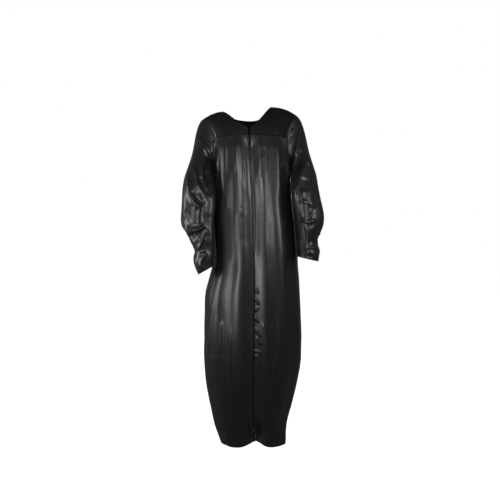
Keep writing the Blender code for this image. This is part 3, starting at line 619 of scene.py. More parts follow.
def seamAngle(side, front):
    seam = seamHeight(front)
    reach = abs(armhole(side)["frontReach" if front else "backReach"] - bodyValue("middle", seam))
    angle = float(angleAt(side, reach, seam))
    return angle if front else math.pi - angle


def yokeStart(side):
    return float(angleAt(side, halfGap(body["frontSeam"]) + zipFly["tapeReach"], body["frontSeam"]))


def yokeTopX(side, angle, front):
    # x on the shoulder line: x at the seam, and the rest of the way to the tip by the square of the way out.
    if front:
        start = yokeStart(side)
        out = (angle - start) / (seamAngle(side, True) - start)
    else:
        out = (math.pi - angle) / (math.pi - seamAngle(side, False))
    reach = neckAndShoulder(side)["tipX"] - armhole(side)["frontReach" if front else "backReach"]
    return bodySurface(side, angle, seamHeight(front))[..., 0] + reach * np.clip(out, 0.0, 1.0) ** 2


def yokeSurface(side, angle, turn, front):
    # A quarter of an ellipse from the yoke seam (0) to the shoulder line (pi / 2), its x eased across.
    seam = seamHeight(front)
    shoulderY = (-1 if front else 1) * body["seamGap"] / 2
    base = bodySurface(side, angle, seam)
    top = yokeTopX(side, angle, front)
    start = seam + body["seamGap"]
    x = base[..., 0] + (top - base[..., 0]) * ease(turn / (math.pi / 2))
    y = shoulderY + (base[..., 1] - shoulderY) * np.cos(turn)
    z = start + (topHeight(side, top) - start) * np.sin(turn)
    return stacked(x, y, z)


def yokeForm(side, angle, turn, front):
    # The yoke's large form and its outward directions.
    surface = lambda side, angle, turn: yokeSurface(side, angle, turn, front)
    low, high = (0.0, seamAngle(side, True)) if front else (seamAngle(side, False), math.pi)
    normals = normalOf(surface, side, angle, turn, (low, 0.0), (high, math.pi / 2))
    return surface(side, angle, turn), normals


def vEdge(side, x):
    # A straight line from the foot of the V to the neck point, less a sag by the sine of the way.
    neck = neckAndShoulder(side)
    foot = bodyValue("middle", body["vHeight"]) + side * zipFly["openHalfGap"]
    along = np.clip((x - foot) / (neck["neckX"] - foot), 0.0, 1.0)
    straight = body["vHeight"] + (neck["neckHeight"] - body["vHeight"]) * along
    return straight - body["vSag"] * np.sin(math.pi * along)


def backNeckEdge(side, x):
    # From the centre back up to the neck point by a power of the way.
    neck = neckAndShoulder(side)
    middle = bodyValue("middle", body["backSeam"])
    along = np.clip((x - middle) / (neck["neckX"] - middle), 0.0, 1.0)
    return body["backNeck"] + (neck["neckHeight"] - body["backNeck"]) * along ** body["backNeckPower"]


def topTurn(side, angle, front):
    # How far each column of a yoke turns: all the way, or inside the neck points to the neck's edge.
    top = yokeTopX(side, angle, front)
    cap = topHeight(side, top)
    inside = side * (top - neckAndShoulder(side)["neckX"]) < -1e-6
    start = seamHeight(front) + body["seamGap"]
    edgeHeight = vEdge(side, top) if front else backNeckEdge(side, top)
    edge = np.where(inside, np.clip((edgeHeight - start) / (cap - start), 0.0, 1.0), 1.0)
    return np.arcsin(edge)


# Soft dents of the yokes on the front viewer's plane, and of the back yoke by x and z
frontYokeCreases = (
    (((-140, -68), (-150, -100), (-146, -128)), 12, 1.6),
    (((-110, -52), (-100, -90), (-104, -128)), 14, -1.5),
    (((-60, -88), (-72, -112), (-84, -130)), 9, 1.0),
    (((110, -60), (122, -96), (118, -128)), 14, -1.5),
    (((150, -72), (146, -104), (152, -128)), 10, 1.6),
    (((60, -80), (70, -108), (82, -130)), 9, 1.0),
)
backYokeCreases = (
    (((-120, -50), (-90, -95), (-96, -140)), 13, 1.6),
    (((-30, -60), (-40, -100), (-30, -140)), 12, 1.2),
    (((40, -58), (50, -100), (38, -140)), 12, 1.2),
    (((120, -48), (96, -95), (104, -140)), 13, 1.6),
)


def yokeCloth(side, angle, turn, front):
    # The yoke's form, moved out along its own normal by soft dents and by the neck's turned edge.
    angle, turn = np.broadcast_arrays(np.asarray(angle, dtype=float), np.asarray(turn, dtype=float))
    points, normals = yokeForm(side, angle, turn, front)
    across, up = seenFromFront(points) if front else inMillimetres(points, 0)
    rise, fall = creaseField(across, up, frontYokeCreases if front else backYokeCreases)
    seamRun, shoulderRun, armRun = body["yokeRuns"]
    toArm = ease(np.abs(seamAngle(side, front) - angle) / armRun)
    rise = rise * ease(turn / seamRun) * ease((math.pi / 2 - turn) / shoulderRun) * toArm
    edge = topTurn(side, angle, front)
    step = body["neckStep"] * ease((body["neckFold"] - (edge - turn) * body["neckTurn"]) / body["stepRun"])
    rise = rise + np.where(edge < math.pi / 2 - 0.02, step, 0.0)
    return points + rise[..., None] * normals, normals


def gridObject(name, points, normals, ring, thickness):
    # A grid of points as one skin of cloth, quads between neighbours, with the cloth's two lengths as UV.
    # The faces are turned so that they look the way the normals do, and a wall is grown inwards.
    pattern = gridLengths(points, ring)
    rows, columns = points.shape[:2]
    number = np.arange(rows * columns).reshape(rows, columns)
    right = np.roll(number, -1, axis=1) if ring else number[:, 1:]
    here = number if ring else number[:, :-1]
    quads = np.stack([here[:-1], right[:-1], right[1:], here[1:]], axis=-1).reshape(-1, 4)
    before, after = pattern[:, :-1], pattern[:, 1:]
    uv = np.stack([before[:-1], after[:-1], after[1:], before[1:]], axis=-2).reshape(-1, 4, 2)
    flat = points.reshape(-1, 3)
    a, b, c, d = (flat[quads[:, i]] for i in range(4))
    facing = np.einsum("ij,ij->i", np.cross(c - a, d - b), normals.reshape(-1, 3)[quads[:, 0]])
    if np.median(facing) < 0:
        quads, uv = quads[:, ::-1], uv[:, ::-1]
    mesh = bpy.data.meshes.new(name)
    mesh.vertices.add(len(flat))
    mesh.vertices.foreach_set("co", flat.ravel())
    mesh.loops.add(quads.size)
    mesh.loops.foreach_set("vertex_index", quads.ravel())
    mesh.polygons.add(len(quads))
    mesh.polygons.foreach_set("loop_start", np.arange(0, quads.size, 4))
    mesh.update(calc_edges=True)
    mesh.uv_layers.new(name="weave").data.foreach_set("uv", uv.astype(np.float32).ravel())
    mesh.shade_smooth()
    made = addObject(name, mesh)
    wall = made.modifiers.new("clothThickness", "SOLIDIFY")
    wall.thickness = thickness
    wall.offset = -1
    return made


def gridLengths(points, ring):
    # For each grid point, the cloth's own lengths across and down, as means over its rows and columns.
    points = closed(points) if ring else points
    across = runUp(np.linalg.norm(np.diff(points, axis=1), axis=-1).mean(axis=0))
    down = runUp(np.linalg.norm(np.diff(points, axis=0), axis=-1).mean(axis=1))
    return stacked(across[None, :], down[:, None])


def addPiece(made, name, material):
    made.data.materials.append(material)
    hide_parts(name)
    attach(made, "gown")


def addCloth(name, points, normals, ring=False):
    made = gridObject(name + "_cloth", points, normals, ring, body["clothThickness"])
    addPiece(made, name, yokeSatin if name.startswith("yoke") else satin)


def objectPlace(tree):
    return addNode(tree, "ShaderNodeTexCoord").outputs["Object"]


def stretched(tree, place, scale):
    return addNode(tree, "ShaderNodeMapping", {"Vector": place}, Scale=scale).outputs[0]


def noise(tree, place, scale, detail, roughness=0.5):
    settings = {"Scale": scale, "Detail": detail, "Roughness": roughness}
    return addNode(tree, "ShaderNodeTexNoise", {"Vector": place}, **settings).outputs[0]


def mixTones(tree, part, dark, light):
    tone = addNode(tree, "ShaderNodeMix", {0: part}, data_type="RGBA")
    for socket, hexText in ((6, dark), (7, light)):
        tone.inputs[socket].default_value = linearColour(hexText)
    return tone.outputs[2]


def bump(tree, height, strength, distance, links=None):
    links = {"Height": height, **(links or {})}
    return addNode(tree, "ShaderNodeBump", links, Strength=strength, Distance=distance).outputs[0]


def polyesterSatin(name, scale, smooth, shine, gloss):
    # Polyester satin: long floats of bright filament over a dyed-black ground. The floats run up and down,
    # so light smears along them into soft bands, and the ground between the folds stays almost black.
    # On the yokes the cloth is doubled and cut across the grain, and looks flatter and darker.
    # The float pattern is drawn at 1.1 mm, some five times coarser than the threads, so that it shows.
    look, tree = newMaterial(name)
    place = addNode(tree, "ShaderNodeUVMap", uv_map="weave").outputs[0]
    grain = noise(tree, stretched(tree, place, scale), 1.0, 2.0, 0.6)
    streak = noise(tree, stretched(tree, place, (120, 9, 1)), 1.0, 3.0, 0.55)
    cloud = noise(tree, place, 26.0, 4.0, 0.6)
    weave = bump(tree, grain, 0.10, 0.0003)
    puckers = bump(tree, streak, 0.30, 0.0010, {"Normal": weave})
    soft = bump(tree, cloud, 0.16, 0.0012, {"Normal": puckers})
    links = {
        "Base Color": mixTones(tree, streak, "#121214", "#1a1a1d"),
        "Roughness": mapRange(tree, cloud, (0.3, 0.7, smooth - 0.04, smooth + 0.06)),
        "Normal": soft,
        "Coat Normal": soft,
    }
    coat = {"Coat_Weight": gloss, "Coat_Roughness": 0.25}
    sheen = {"Sheen_Weight": 0.05, "Sheen_Roughness": 0.30}
    principled(tree, links, IOR=1.56, Specular_IOR_Level=shine, **coat, **sheen)
    return look


def wovenZipTape():
    # Zip tape: matt polyester twill with a fine herringbone across it, drawn at 1 mm.
    look, tree = newMaterial("wovenZipTape")
    pattern = {"Scale": 500.0, "Distortion": 0.6, "bands_direction": "DIAGONAL"}
    twill = addNode(tree, "ShaderNodeTexWave", {"Vector": objectPlace(tree)}, **pattern).outputs["Fac"]
    tone, ribs = mixTones(tree, twill, "#101011", "#1c1c1e"), bump(tree, twill, 0.5, 0.0002)
    principled(tree, {"Base Color": tone, "Normal": ribs}, Roughness=0.78)
    return look


def mouldedAcetal(name, dark, light, roughness):
    # Moulded acetal zip teeth and spun polyester thread share this make-up: one dark tone, finely mottled.
    look, tree = newMaterial(name)
    mottle = noise(tree, objectPlace(tree), 900.0, 2.0)
    principled(tree, {"Base Color": mixTones(tree, mottle, dark, light)}, Roughness=roughness)
    return look


def paintedZinc():
    # Die-cast zinc under black stoving paint: smooth and glossy, a little orange peel, greyer where it rubs. Both
    # paint tones are lighter than black as a painted highlight, and the grey patches are part rubbed wear, part
    # painted highlight.
    look, tree = newMaterial("paintedZinc")
    place = objectPlace(tree)
    peel = noise(tree, place, 1400.0, 2.0)
    wearAndPaintedHighlight = mapRange(tree, noise(tree, place, 420.0, 4.0), (0.58, 0.72, 0.0, 0.6))
    # Dark grey to light grey by the patches: a painted highlight on the slider and tab, as well as rubbed wear.
    links = {"Base Color": mixTones(tree, wearAndPaintedHighlight, "#3a3a3d", "#a2a3a8"), "Normal": bump(tree, peel, 0.15, 0.0001)}
    principled(tree, links, Roughness=0.27, Metallic=0.7, Coat_Weight=0.6)
    return look


satin = polyesterSatin("polyesterSatin", (900, 160, 1), 0.44, 0.40, 0.85)
yokeSatin = polyesterSatin("crossGrainSatin", (160, 900, 1), 0.60, 0.14, 0.03)
tape = wovenZipTape()
acetal = mouldedAcetal("mouldedAcetal", "#141416", "#242427", 0.36)
thread = mouldedAcetal("spunPolyesterThread", "#101012", "#1b1b1e", 0.70)
zinc = paintedZinc()
print("materials ready")

# Rows and columns of the cloth's grids
panelGrid = {
    "frontRows": 345,
    "backRows": 205,
    "armholeRows": 36,
    "frontColumns": 100,
    "backColumns": 70,
    "yokeRows": 36,
    "neckColumns": 44,
    "shoulderColumns": 26,
    "knee": math.radians(28),
    "kneePower": 1.3,
    "sleeveArmRows": 50,
    "sleeveYokeRows": 40,
    "capRows": 45,
    "sleeveRows": 185,
    "cuffStitchRow": 7,  # rows up from the cuff's edge
    "cuffFoldRows": 9,
    "capSeamRows": 7.0,  # rows below the armhole in which a sleeve's folds begin
    "crumpleRows": 50.0,
}
cuffLines = {}


def armholeLine(side, front, steps):
    # The armhole below a yoke: a quarter of an ellipse from the underarm to the end of the yoke seam.
    turn = np.linspace(0.0, math.pi / 2, steps + 1)
    low = armhole(side)["underarm"]
    height = low + (seamHeight(front) - low) * (1 - np.cos(turn))
    return math.pi / 2 + (seamAngle(side, front) - math.pi / 2) * np.sin(turn), height


def panelGridAngles(side, front):
    # Rows from the hem up to the seam; columns from the centre out to the side seam, those past the knee
    # drawn in to the armhole by a power of their way out.
    armAngle, armHeight = armholeLine(side, front, panelGrid["armholeRows"])
    lowerRows = panelGrid["frontRows" if front else "backRows"]
    lower = np.linspace(body["hem"], armhole(side)["underarm"], lowerRows + 1)[:-1]
    heights = np.concatenate([lower, armHeight])
    ends = np.concatenate([np.full(lowerRows, math.pi / 2), armAngle])
    count = panelGrid["frontColumns" if front else "backColumns"] + 1
    knee = panelGrid["knee"]
    if front:
        start = angleAt(side, clothGap(heights), heights)
        plain = start[:, None] + (math.pi / 2 - start)[:, None] * np.linspace(0.0, 1.0, count)
        out = (plain - knee) / (math.pi / 2 - knee)
    else:
        plain = np.broadcast_to(np.linspace(math.pi, math.pi / 2, count), (len(heights), count))
        out = (math.pi - knee - plain) / (math.pi / 2 - knee)
    angles = plain + (ends - math.pi / 2)[:, None] * np.clip(out, 0.0, 1.0) ** panelGrid["kneePower"]
    return angles, np.broadcast_to(heights[:, None], angles.shape)


def makeFront(side, name):
    # The front's cloth, half a seam gap forward along the side seam.
    points, normals = bodyCloth(side, *panelGridAngles(side, True))
    points[: panelGrid["frontRows"] + 1, -1, 1] -= body["seamGap"] / 2
    addCloth(name, points, normals)


def joinHalves(left, right):
    # The points and normals of two halves as one grid each, with their shared column once.
    return [np.concatenate([one[:, ::-1], other[:, 1:]], axis=1) for one, other in zip(left, right)]


def makeBack():
    # The back's cloth in two halves, half a seam gap back along the side seams.
    halves = []
    for side in (-1, 1):
        points, normals = bodyCloth(side, *panelGridAngles(side, False), math.pi / 2, math.pi)
        points[: panelGrid["backRows"] + 1, -1, 1] += body["seamGap"] / 2
        halves.append((points, normals))
    addCloth("back", *joinHalves(*halves))


def yokeColumns(side, front):
    # Columns with one exactly at the neck point, where the shoulder line begins.
    start = float(angleAt(side, halfGap(body["frontSeam"]), body["frontSeam"])) if front else math.pi
    end = seamAngle(side, front)
    fine = np.linspace(start, end, 800)
    neck = float(np.interp(side * neckAndShoulder(side)["neckX"], side * yokeTopX(side, fine, front), fine))
    inner = np.linspace(start, neck, panelGrid["neckColumns"])
    return np.concatenate([inner, np.linspace(neck, end, panelGrid["shoulderColumns"])[1:]])


def yokeGrid(side, front):
    angles = yokeColumns(side, front)
    tops = topTurn(side, angles, front)
    turns = np.linspace(0.0, 1.0, panelGrid["yokeRows"] + 1)[:, None] * tops
    return yokeCloth(side, np.broadcast_to(angles, turns.shape), turns, front)


for side, word in ((-1, "left"), (1, "right")):
    makeFront(side, "front_" + word)
    addCloth("yoke_front_" + word, *yokeGrid(side, True))
makeBack()
addCloth("yoke_back", *joinHalves(yokeGrid(-1, False), yokeGrid(1, False)))

# The sleeves' cut and large folds, as the frame has them
sleeves = {
    "columns": ("outerHeight", "innerHeight", "outerX", "innerX", "front", "back"),
    "sections": {
        -1: (
            (-0.232, -0.280, -0.254, -0.166, -0.100, 0.070),
            (-0.300, -0.318, -0.2715, -0.1610, -0.122, 0.052),
            (-0.352, -0.360, -0.2768, -0.1570, -0.146, 0.026),
            (-0.395, -0.400, -0.2763, -0.1535, -0.160, 0.010),
            (-0.450, -0.455, -0.2735, -0.1535, -0.166, -0.002),
            (-0.500, -0.505, -0.2724, -0.1535, -0.167, -0.010),
            (-0.525, -0.535, -0.2590, -0.1500, -0.163, -0.024),
            (-0.560, -0.570, -0.2436, -0.1480, -0.157, -0.038),
            (-0.600, -0.602, -0.2225, -0.1465, -0.151, -0.050),
            (-0.630, -0.628, -0.2260, -0.1465, -0.155, -0.053),
            (-0.660, -0.645, -0.2215, -0.1475, -0.155, -0.058),
            (-0.698, -0.664, -0.2060, -0.1480, -0.152, -0.063),
        ),
        1: (
            (-0.232, -0.280, 0.2620, 0.1830, -0.100, 0.070),
            (-0.290, -0.312, 0.2765, 0.1805, -0.122, 0.052),
            (-0.348, -0.356, 0.2810, 0.1785, -0.146, 0.026),
            (-0.395, -0.400, 0.2853, 0.1760, -0.160, 0.010),
            (-0.440, -0.445, 0.2910, 0.1790, -0.166, -0.002),
            (-0.475, -0.480, 0.2937, 0.1810, -0.168, -0.008),
            (-0.510, -0.515, 0.2900, 0.1830, -0.165, -0.018),
            (-0.545, -0.550, 0.2770, 0.1860, -0.156, -0.034),
            (-0.570, -0.573, 0.2700, 0.1880, -0.150, -0.044),
            (-0.600, -0.600, 0.2797, 0.1885, -0.154, -0.044),
            (-0.622, -0.615, 0.2776, 0.1900, -0.154, -0.048),
            (-0.646, -0.626, 0.2740, 0.1900, -0.151, -0.052),
        ),
    },
    "capStart": (0.017, 0.045),
    "capEnd": (0.020, 0.070),
    "seamGap": 0.00045,
    "creaseLift": {-1: 1.45, 1: 1.35},  # all creases of a sleeve against the heights in their table
    "creaseWiden": 1.22,  # and all of them against the widths
    "crumpleSeed": 21,
    "crumpleWander": (2.6, 0.04),  # radians to and fro, and radians for each row down
    "crumpleLengths": (360 / 11, 360 / 17, 360 / 7),  # degrees round the sleeve
    "crumpleHeights": (0.0001, 0.0001, 0.0005),
    "frontShare": (0.5, 1.4),  # the front's creases count by 0.5 less 1.4 times the normal's y, eased
    "innerCalm": (0.7, 0.8),  # radians, and the share of the folds lost next to the body
    # Folds that rest on the body, then free ones: angle, width, depth, height, run
    "leans": {
        -1: ((24, 22, 0.0225, -0.330, 0.18), (34, 24, 0.010, -0.53, 0.14)),
        1: ((26, 20, 0.0185, -0.305, 0.13),),
    },
    "folds": {
        -1: (
            (118, 26, 0.008, -0.33, 0.10),
            (62, 20, -0.008, -0.42, 0.12),
            (160, 24, 0.006, -0.47, 0.05),
            (250, 26, 0.008, -0.40, 0.13),
            (300, 22, -0.006, -0.36, 0.10),
            (90, 30, 0.005, -0.63, 0.03),
        ),
        1: (
            (70, 20, 0.007, -0.32, 0.10),
            (112, 24, -0.008, -0.40, 0.10),
            (150, 24, 0.006, -0.46, 0.06),
            (245, 26, 0.008, -0.40, 0.13),
            (300, 22, -0.006, -0.36, 0.10),
            (85, 30, 0.005, -0.60, 0.03),
        ),
    },
}
# Creases of the sleeves' front halves on the front viewer's plane, and of their back halves by x and z
sleeveFrontCreases = {
    -1: (
        (((-204, -156), (-185, -189), (-164, -235)), 3.5, 3.4),
        (((-201, -160), (-178, -185), (-151, -223)), 3, 2.4),
        (((-207, -160), (-198, -183), (-189, -200)), 3, 2),
        (((-139, -173), (-145, -200), (-150, -229)), 3.5, 3),
        (((-148, -236), (-143, -263), (-145, -290)), 3, 3),
        ((
            (-150, -247), (-174, -255), (-185, -272), (-188, -294),
            (-185, -325), (-174, -350), (-174, -367), (-186, -381),
        ), 7.5, 6),
        (((-228, -269), (-216, -296), (-205, -334), (-189, -376), (-169, -395), (-149, -402)), 8.5, 6),
        ((
            (-228, -285), (-240, -316), (-240, -352), (-232, -392),
            (-214, -423), (-189, -436), (-174, -425),
        ), 7.5, 5),
        (((-198, -439), (-202, -468), (-199, -505)), 4.5, 4),
        (((-257, -436), (-243, -476), (-220, -508)), 5, 3),
        (((-254, -383), (-254, -432), (-247, -485)), 6, 2),
        (((-257, -501), (-234, -516), (-207, -516), (-180, -508), (-170, -514)), 7, 8, 6),
        (((-170, -517), (-185, -557), (-196, -588), (-204, -610)), 5, 5),
        (((-204, -612), (-176, -619), (-186, -634), (-190, -657), (-177, -683)), 5, 4),
        (((-214, -628), (-203, -668), (-191, -690)), 5, 2.5),
        (((-162, -290), (-158, -334)), 20, -2),
        (((-198, -316), (-191, -347)), 8, -3),
        (((-223, -361), (-196, -401), (-169, -419)), 12, -4),
        (((-231, -534), (-209, -557)), 14, -5),
        (((-164, -450), (-164, -503), (-174, -565)), 20, -3),
    ),
    1: (
        (((187, -120), (190, -152), (183, -192), (175, -249), (163, -316)), 4, 3.5),
        (((223, -238), (215, -267), (199, -316), (183, -361), (171, -401)), 6.5, 5),
        (((246, -303), (241, -347), (232, -383), (232, -405), (254, -425)), 6.5, 4),
        (((217, -243), (238, -272)), 7, 3),
        (((188, -409), (218, -413), (238, -424), (256, -436)), 6.5, 3.5, 1),
        (((209, -365), (196, -405)), 6, 2),
        (((213, -494), (223, -530), (223, -570), (217, -612)), 5, 5),
        (((238, -503), (252, -539), (247, -565)), 5, 4),
        (((200, -472), (223, -488), (258, -481)), 6, 5, 4),
        (((232, -461), (243, -468)), 13, -4),
        (((227, -588), (254, -592)), 4, 3),
        (((223, -610), (256, -614)), 4, 3),
        (((254, -557), (266, -579)), 4, 3),
        (((216, -630), (249, -634)), 4, 2.5),
        (((260, -525), (272, -543)), 4, 3),
        (((167, -126), (157, -155)), 3.5, 3),
        (((191, -441), (191, -521), (198, -597)), 18, -3),
        (((218, -316), (209, -370)), 12, -4),
        (((200, -205), (191, -281)), 12, -3),
    ),
}
sleeveBackCreases = {
    -1: (
        (((-196, -110), (-214, -190), (-222, -280)), 6, 3.5),
        (((-178, -130), (-186, -220), (-180, -300)), 6, 3),
        (((-250, -240), (-238, -330), (-246, -420)), 7, 4),
        (((-200, -330), (-216, -400), (-196, -470)), 8, 4),
        (((-268, -470), (-230, -492), (-180, -486)), 6, 6, 4),
        (((-250, -530), (-214, -545), (-176, -538)), 6, 5, 3),
        (((-232, -586), (-200, -600), (-168, -594)), 5, 4, 2),
        (((-222, -640), (-200, -652), (-176, -646)), 5, 3, 1),
    ),
    1: (
        (((200, -110), (216, -190), (224, -280)), 6, 3.5),
        (((184, -130), (192, -220), (188, -300)), 6, 3),
        (((256, -240), (246, -330), (254, -410)), 7, 4),
        (((214, -330), (230, -400), (214, -460)), 8, 4),
        (((284, -452), (246, -470), (204, -462)), 6, 6, 4),
        (((270, -520), (236, -534), (204, -526)), 6, 5, 3),
        (((262, -568), (236, -578), (206, -572)), 5, 4, 2),
        (((266, -606), (236, -614), (208, -608)), 5, 3, 1),
    ),
}


def armholeLoop(side):
    # Points and outward directions round the armhole: underarm, front, shoulder, back and down again.
    quarters = []
    for front in (True, False):
        limits = (0.0, math.pi / 2) if front else (math.pi / 2, math.pi)
        arm = bodyForm(side, *armholeLine(side, front, panelGrid["sleeveArmRows"]), *limits)
        turns = np.linspace(0.0, math.pi / 2, panelGrid["sleeveYokeRows"] + 1)[1:]
        yoke = yokeForm(side, np.full(turns.shape, seamAngle(side, front)), turns, front)
        quarters.append((arm, yoke))
    (frontArm, frontYoke), (backArm, backYoke) = quarters
    return [
        np.concatenate([frontArm[i], frontYoke[i], backYoke[i][-2::-1], backArm[i][::-1][:-1]]) for i in (0, 1)
    ]


def sleeveSection(side, turn, place):
    # x and z swing from the inner to the outer values by (1 - cos(turn)) / 2, y by sin(turn) from the
    # middle, and bells over the turn and the height puff the sleeve out or draw it in.
    rows = sleeves["sections"][side]
    value = {
        name: curveThrough(place, np.arange(len(rows)), tableColumn(rows, sleeves["columns"], name))
        for name in sleeves["columns"]
    }
    out = (1 - np.cos(turn)) / 2
    x = value["innerX"] + (value["outerX"] - value["innerX"]) * out
    y = (value["front"] + value["back"]) / 2 - (value["back"] - value["front"]) / 2 * np.sin(turn)
    z = value["innerHeight"] + (value["outerHeight"] - value["innerHeight"]) * out
    puff = sum(bell(row, np.degrees(turn), z) for row in sleeves["folds"][side] + sleeves["leans"][side])
    return np.stack([x - side * puff * np.cos(turn), y - puff * np.sin(turn), z], axis=-1)


def sleeveForm(side):
    # The cap is a cubic curve from each point of the armhole to the first section; the rest follows the
    # table. Each column keeps its share of the armhole's length, half of it in front.
    loop, loopNormal = armholeLoop(side)
    ahead, behind = np.roll(loop, -1, axis=0), np.roll(loop, 1, axis=0)
    steps = np.linalg.norm(ahead - loop, axis=1)
    top = panelGrid["sleeveArmRows"] + panelGrid["sleeveYokeRows"]
    front = runUp(steps[:top]) / steps[:top].sum()
    turns = np.concatenate([front, 1 + np.cumsum(steps[top:])[:-1] / steps[top:].sum()]) * math.pi
    leave = unit(np.cross(unit(ahead - behind), loopNormal)) * side
    first = sleeveSection(side, turns, np.zeros(turns.shape))
    down = unit(sleeveSection(side, turns, np.full(turns.shape, 0.05)) - first)
    over = (1 - np.cos(turns))[:, None] / 2
    capStart, capEnd = (low + (high - low) * over for low, high in (sleeves["capStart"], sleeves["capEnd"]))
    start = loop + sleeves["seamGap"] * leave
    lead = start + leave * capStart
    trail = first - down * capEnd
    part = np.linspace(0.0, 1.0, panelGrid["capRows"] + 1)[:-1, None, None]
    rest = 1 - part
    cap = rest**3 * start + 3 * rest**2 * part * lead + 3 * rest * part**2 * trail + part**3 * first
    places = np.linspace(0.0, len(sleeves["sections"][side]) - 1.0, panelGrid["sleeveRows"] + 1)
    outer = np.concatenate([cap, sleeveSection(side, turns[None, :], places[:, None])])
    across = np.roll(outer, -1, axis=1) - np.roll(outer, 1, axis=1)
    normal = unit(np.cross(np.gradient(outer, axis=0), across)) * side
    normal[0] = loopNormal
    return outer, normal, turns


def makeSleeve(side, name):
    # The form, moved out by creases and crumples and down by the creases' drop. Where the cloth faces the
    # front, the front's creases count, and elsewhere the back's. The side next to the body stays smooth.
    points, normals, turns = sleeveForm(side)
    count = len(points)
    rowsDown = np.arange(count)[:, None]
    seamFade = ease(rowsDown / panelGrid["capSeamRows"])
    even, slope = sleeves["frontShare"]
    frontShare = ease(even - normals[..., 1] * slope)
    rise, fall = 0.0, 0.0
    for table, share, (across, up) in (
        (sleeveFrontCreases, frontShare, seenFromFront(points)),
        (sleeveBackCreases, 1 - frontShare, inMillimetres(points, 0)),
    ):
        rows = [(line, width * sleeves["creaseWiden"], *rest) for line, width, *rest in table[side]]
        more, drop = creaseField(across, up, rows)
        rise, fall = rise + more * share, fall + drop * share
    reach, pace = sleeves["crumpleWander"]
    seed, wander = sleeves["crumpleSeed"] + side, reach * np.sin(rowsDown * pace)
    crumple = waves(np.degrees(turns), seed, sleeves["crumpleLengths"], sleeves["crumpleHeights"], wander)
    crumple = crumple * ease(rowsDown / panelGrid["crumpleRows"])
    turn, share = sleeves["innerCalm"]
    calm = 1 - share * np.exp(-((np.minimum(turns, 2 * math.pi - turns) / turn) ** 2))
    rise = (sleeves["creaseLift"][side] * rise + crumple) * seamFade * calm
    rise = rise + body["edgeStep"] * ease(rowsDown - (count - panelGrid["cuffFoldRows"]))
    moved = points + rise[..., None] * normals
    moved[..., 2] -= fall * seamFade
    row = -panelGrid["cuffStitchRow"]
    cuffLines[name] = tuple(np.concatenate([line[row], line[row, :1]]) for line in (moved, normals))
    addCloth(name, moved, normals, ring=True)


makeSleeve(-1, "sleeve_left")
makeSleeve(1, "sleeve_right")


def flyLine(side, heights, setback):
    # Points on the cloth's own surface beside the centre front, a set distance outside or inside its edge,
    # with the outward and upward directions there.
    angle = angleAt(side, halfGap(heights) + setback, heights)
    points, normals = bodyCloth(side, angle, heights)
    return points, normals, unit(np.gradient(points, axis=0))


def makeTape(side, name):
    # Five lines at set distances from the zip's edge, up the front, over the seam and up inside the yoke.
    setbacks = (-zipFly["tapeSetback"], *zipFly["tapeMiddle"], zipFly["tapeReach"])
    heights = np.linspace(body["hem"] + 0.001, body["frontSeam"], 500)
    lines = [flyLine(side, heights, setback)[:2] for setback in setbacks]
    lower, lowerNormals = (np.stack([line[i] for line in lines], axis=1) for i in (0, 1))
    foot = float(topTurn(side, np.array([yokeStart(side)]), True)[0])
    turns = np.linspace(0.0, foot * 0.9, 9)[1:, None]
    angles = angleAt(side, halfGap(body["frontSeam"]) + np.array([setbacks]), body["frontSeam"])
    upper, upperNormals = yokeCloth(side, angles, turns, True)
    normals = np.concatenate([lowerNormals, upperNormals])
    points = np.concatenate([lower, upper]) - zipFly["tapeDepth"] * normals
    made = gridObject(name + "_strip", points, normals, False, zipFly["tapeThickness"])
    addPiece(made, name, tape)


boxFaces = ((0, 1, 3, 2), (4, 6, 7, 5), (0, 4, 5, 1), (2, 3, 7, 6), (0, 2, 6, 4), (1, 5, 7, 3))


def boxShape(size, lean):
    # Eight corners of a block, its outer face drawn in by the lean.
    corners = np.array([(x, y, z) for x in (-0.5, 0.5) for y in (-0.5, 0.5) for z in (-0.5, 0.5)])
    corners[:, [0, 2]] *= np.where(corners[:, 1] > 0, 1 - lean, 1.0)[:, None]
    return corners * np.array(size)


def turnOut(faces, shape):
    # Each face is turned so that its own normal looks away from the block's middle.
    good = []
    for face in faces:
        a, b, c, d = (shape[i] for i in face)
        normal = np.cross(c - a, d - b)
        good.append(face if np.dot(normal, (a + b + c + d) / 4 - shape.mean(axis=0)) > 0 else face[::-1])
    return good


def scatterShapes(name, shape, origins, sideways, outward, upward, material):
    # One small block set down at every origin: its x, y and z run sideways, outward and upward there.
    ways = (sideways, outward, upward)
    turned = sum(shape[None, :, axis, None] * way[:, None] for axis, way in enumerate(ways))
    firsts = np.arange(len(origins)) * len(shape)
    loops = (np.array(turnOut(boxFaces, shape))[None] + firsts[:, None, None]).reshape(-1, 4)
    mesh = bpy.data.meshes.new(name)
    mesh.from_pydata((origins[:, None] + turned).reshape(-1, 3).tolist(), [], loops.tolist())
    mesh.validate()
    mesh.materials.append(material)
    made = addObject(name, mesh)
    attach(made, "gown")


def setBlocks(side, name, heights, size, lean):
    # Moulded blocks on the tape's inner edge, one at each height.
    points, normals, upward = flyLine(side, heights, -zipFly["tapeSetback"])
    origins = points - (zipFly["tapeDepth"] - zipFly["toothRise"]) * normals
    sideways = unit(np.cross(normals, upward)) * side
    scatterShapes(name, boxShape(size, lean), origins, sideways, normals, upward, acetal)


def makeTeeth(side, name):
    # A tooth every pitch along the tape's inner edge; the two sides are half a pitch apart, so that below
    # the slider they stand between each other, and above it each row follows its own tape.
    pitch = zipFly["toothPitch"]
    up, down = zipFly["teethEnds"]
    heights = np.arange(body["hem"] + up, body["vHeight"] - down, pitch) + (pitch / 2 if side > 0 else 0.0)
    heights = heights[np.abs(heights - zipFly["sliderHeight"]) > zipFly["sliderClear"]]
    setBlocks(side, name, heights, zipFly["toothSize"], zipFly["toothLean"])


def makeStops(side, name):
    # A moulded stop at each end of the row of teeth.
    up, down = zipFly["stopEnds"]
    heights = np.array([body["hem"] + up, body["vHeight"] - down])
    setBlocks(side, name, heights, zipFly["stopSize"], zipFly["stopLean"])


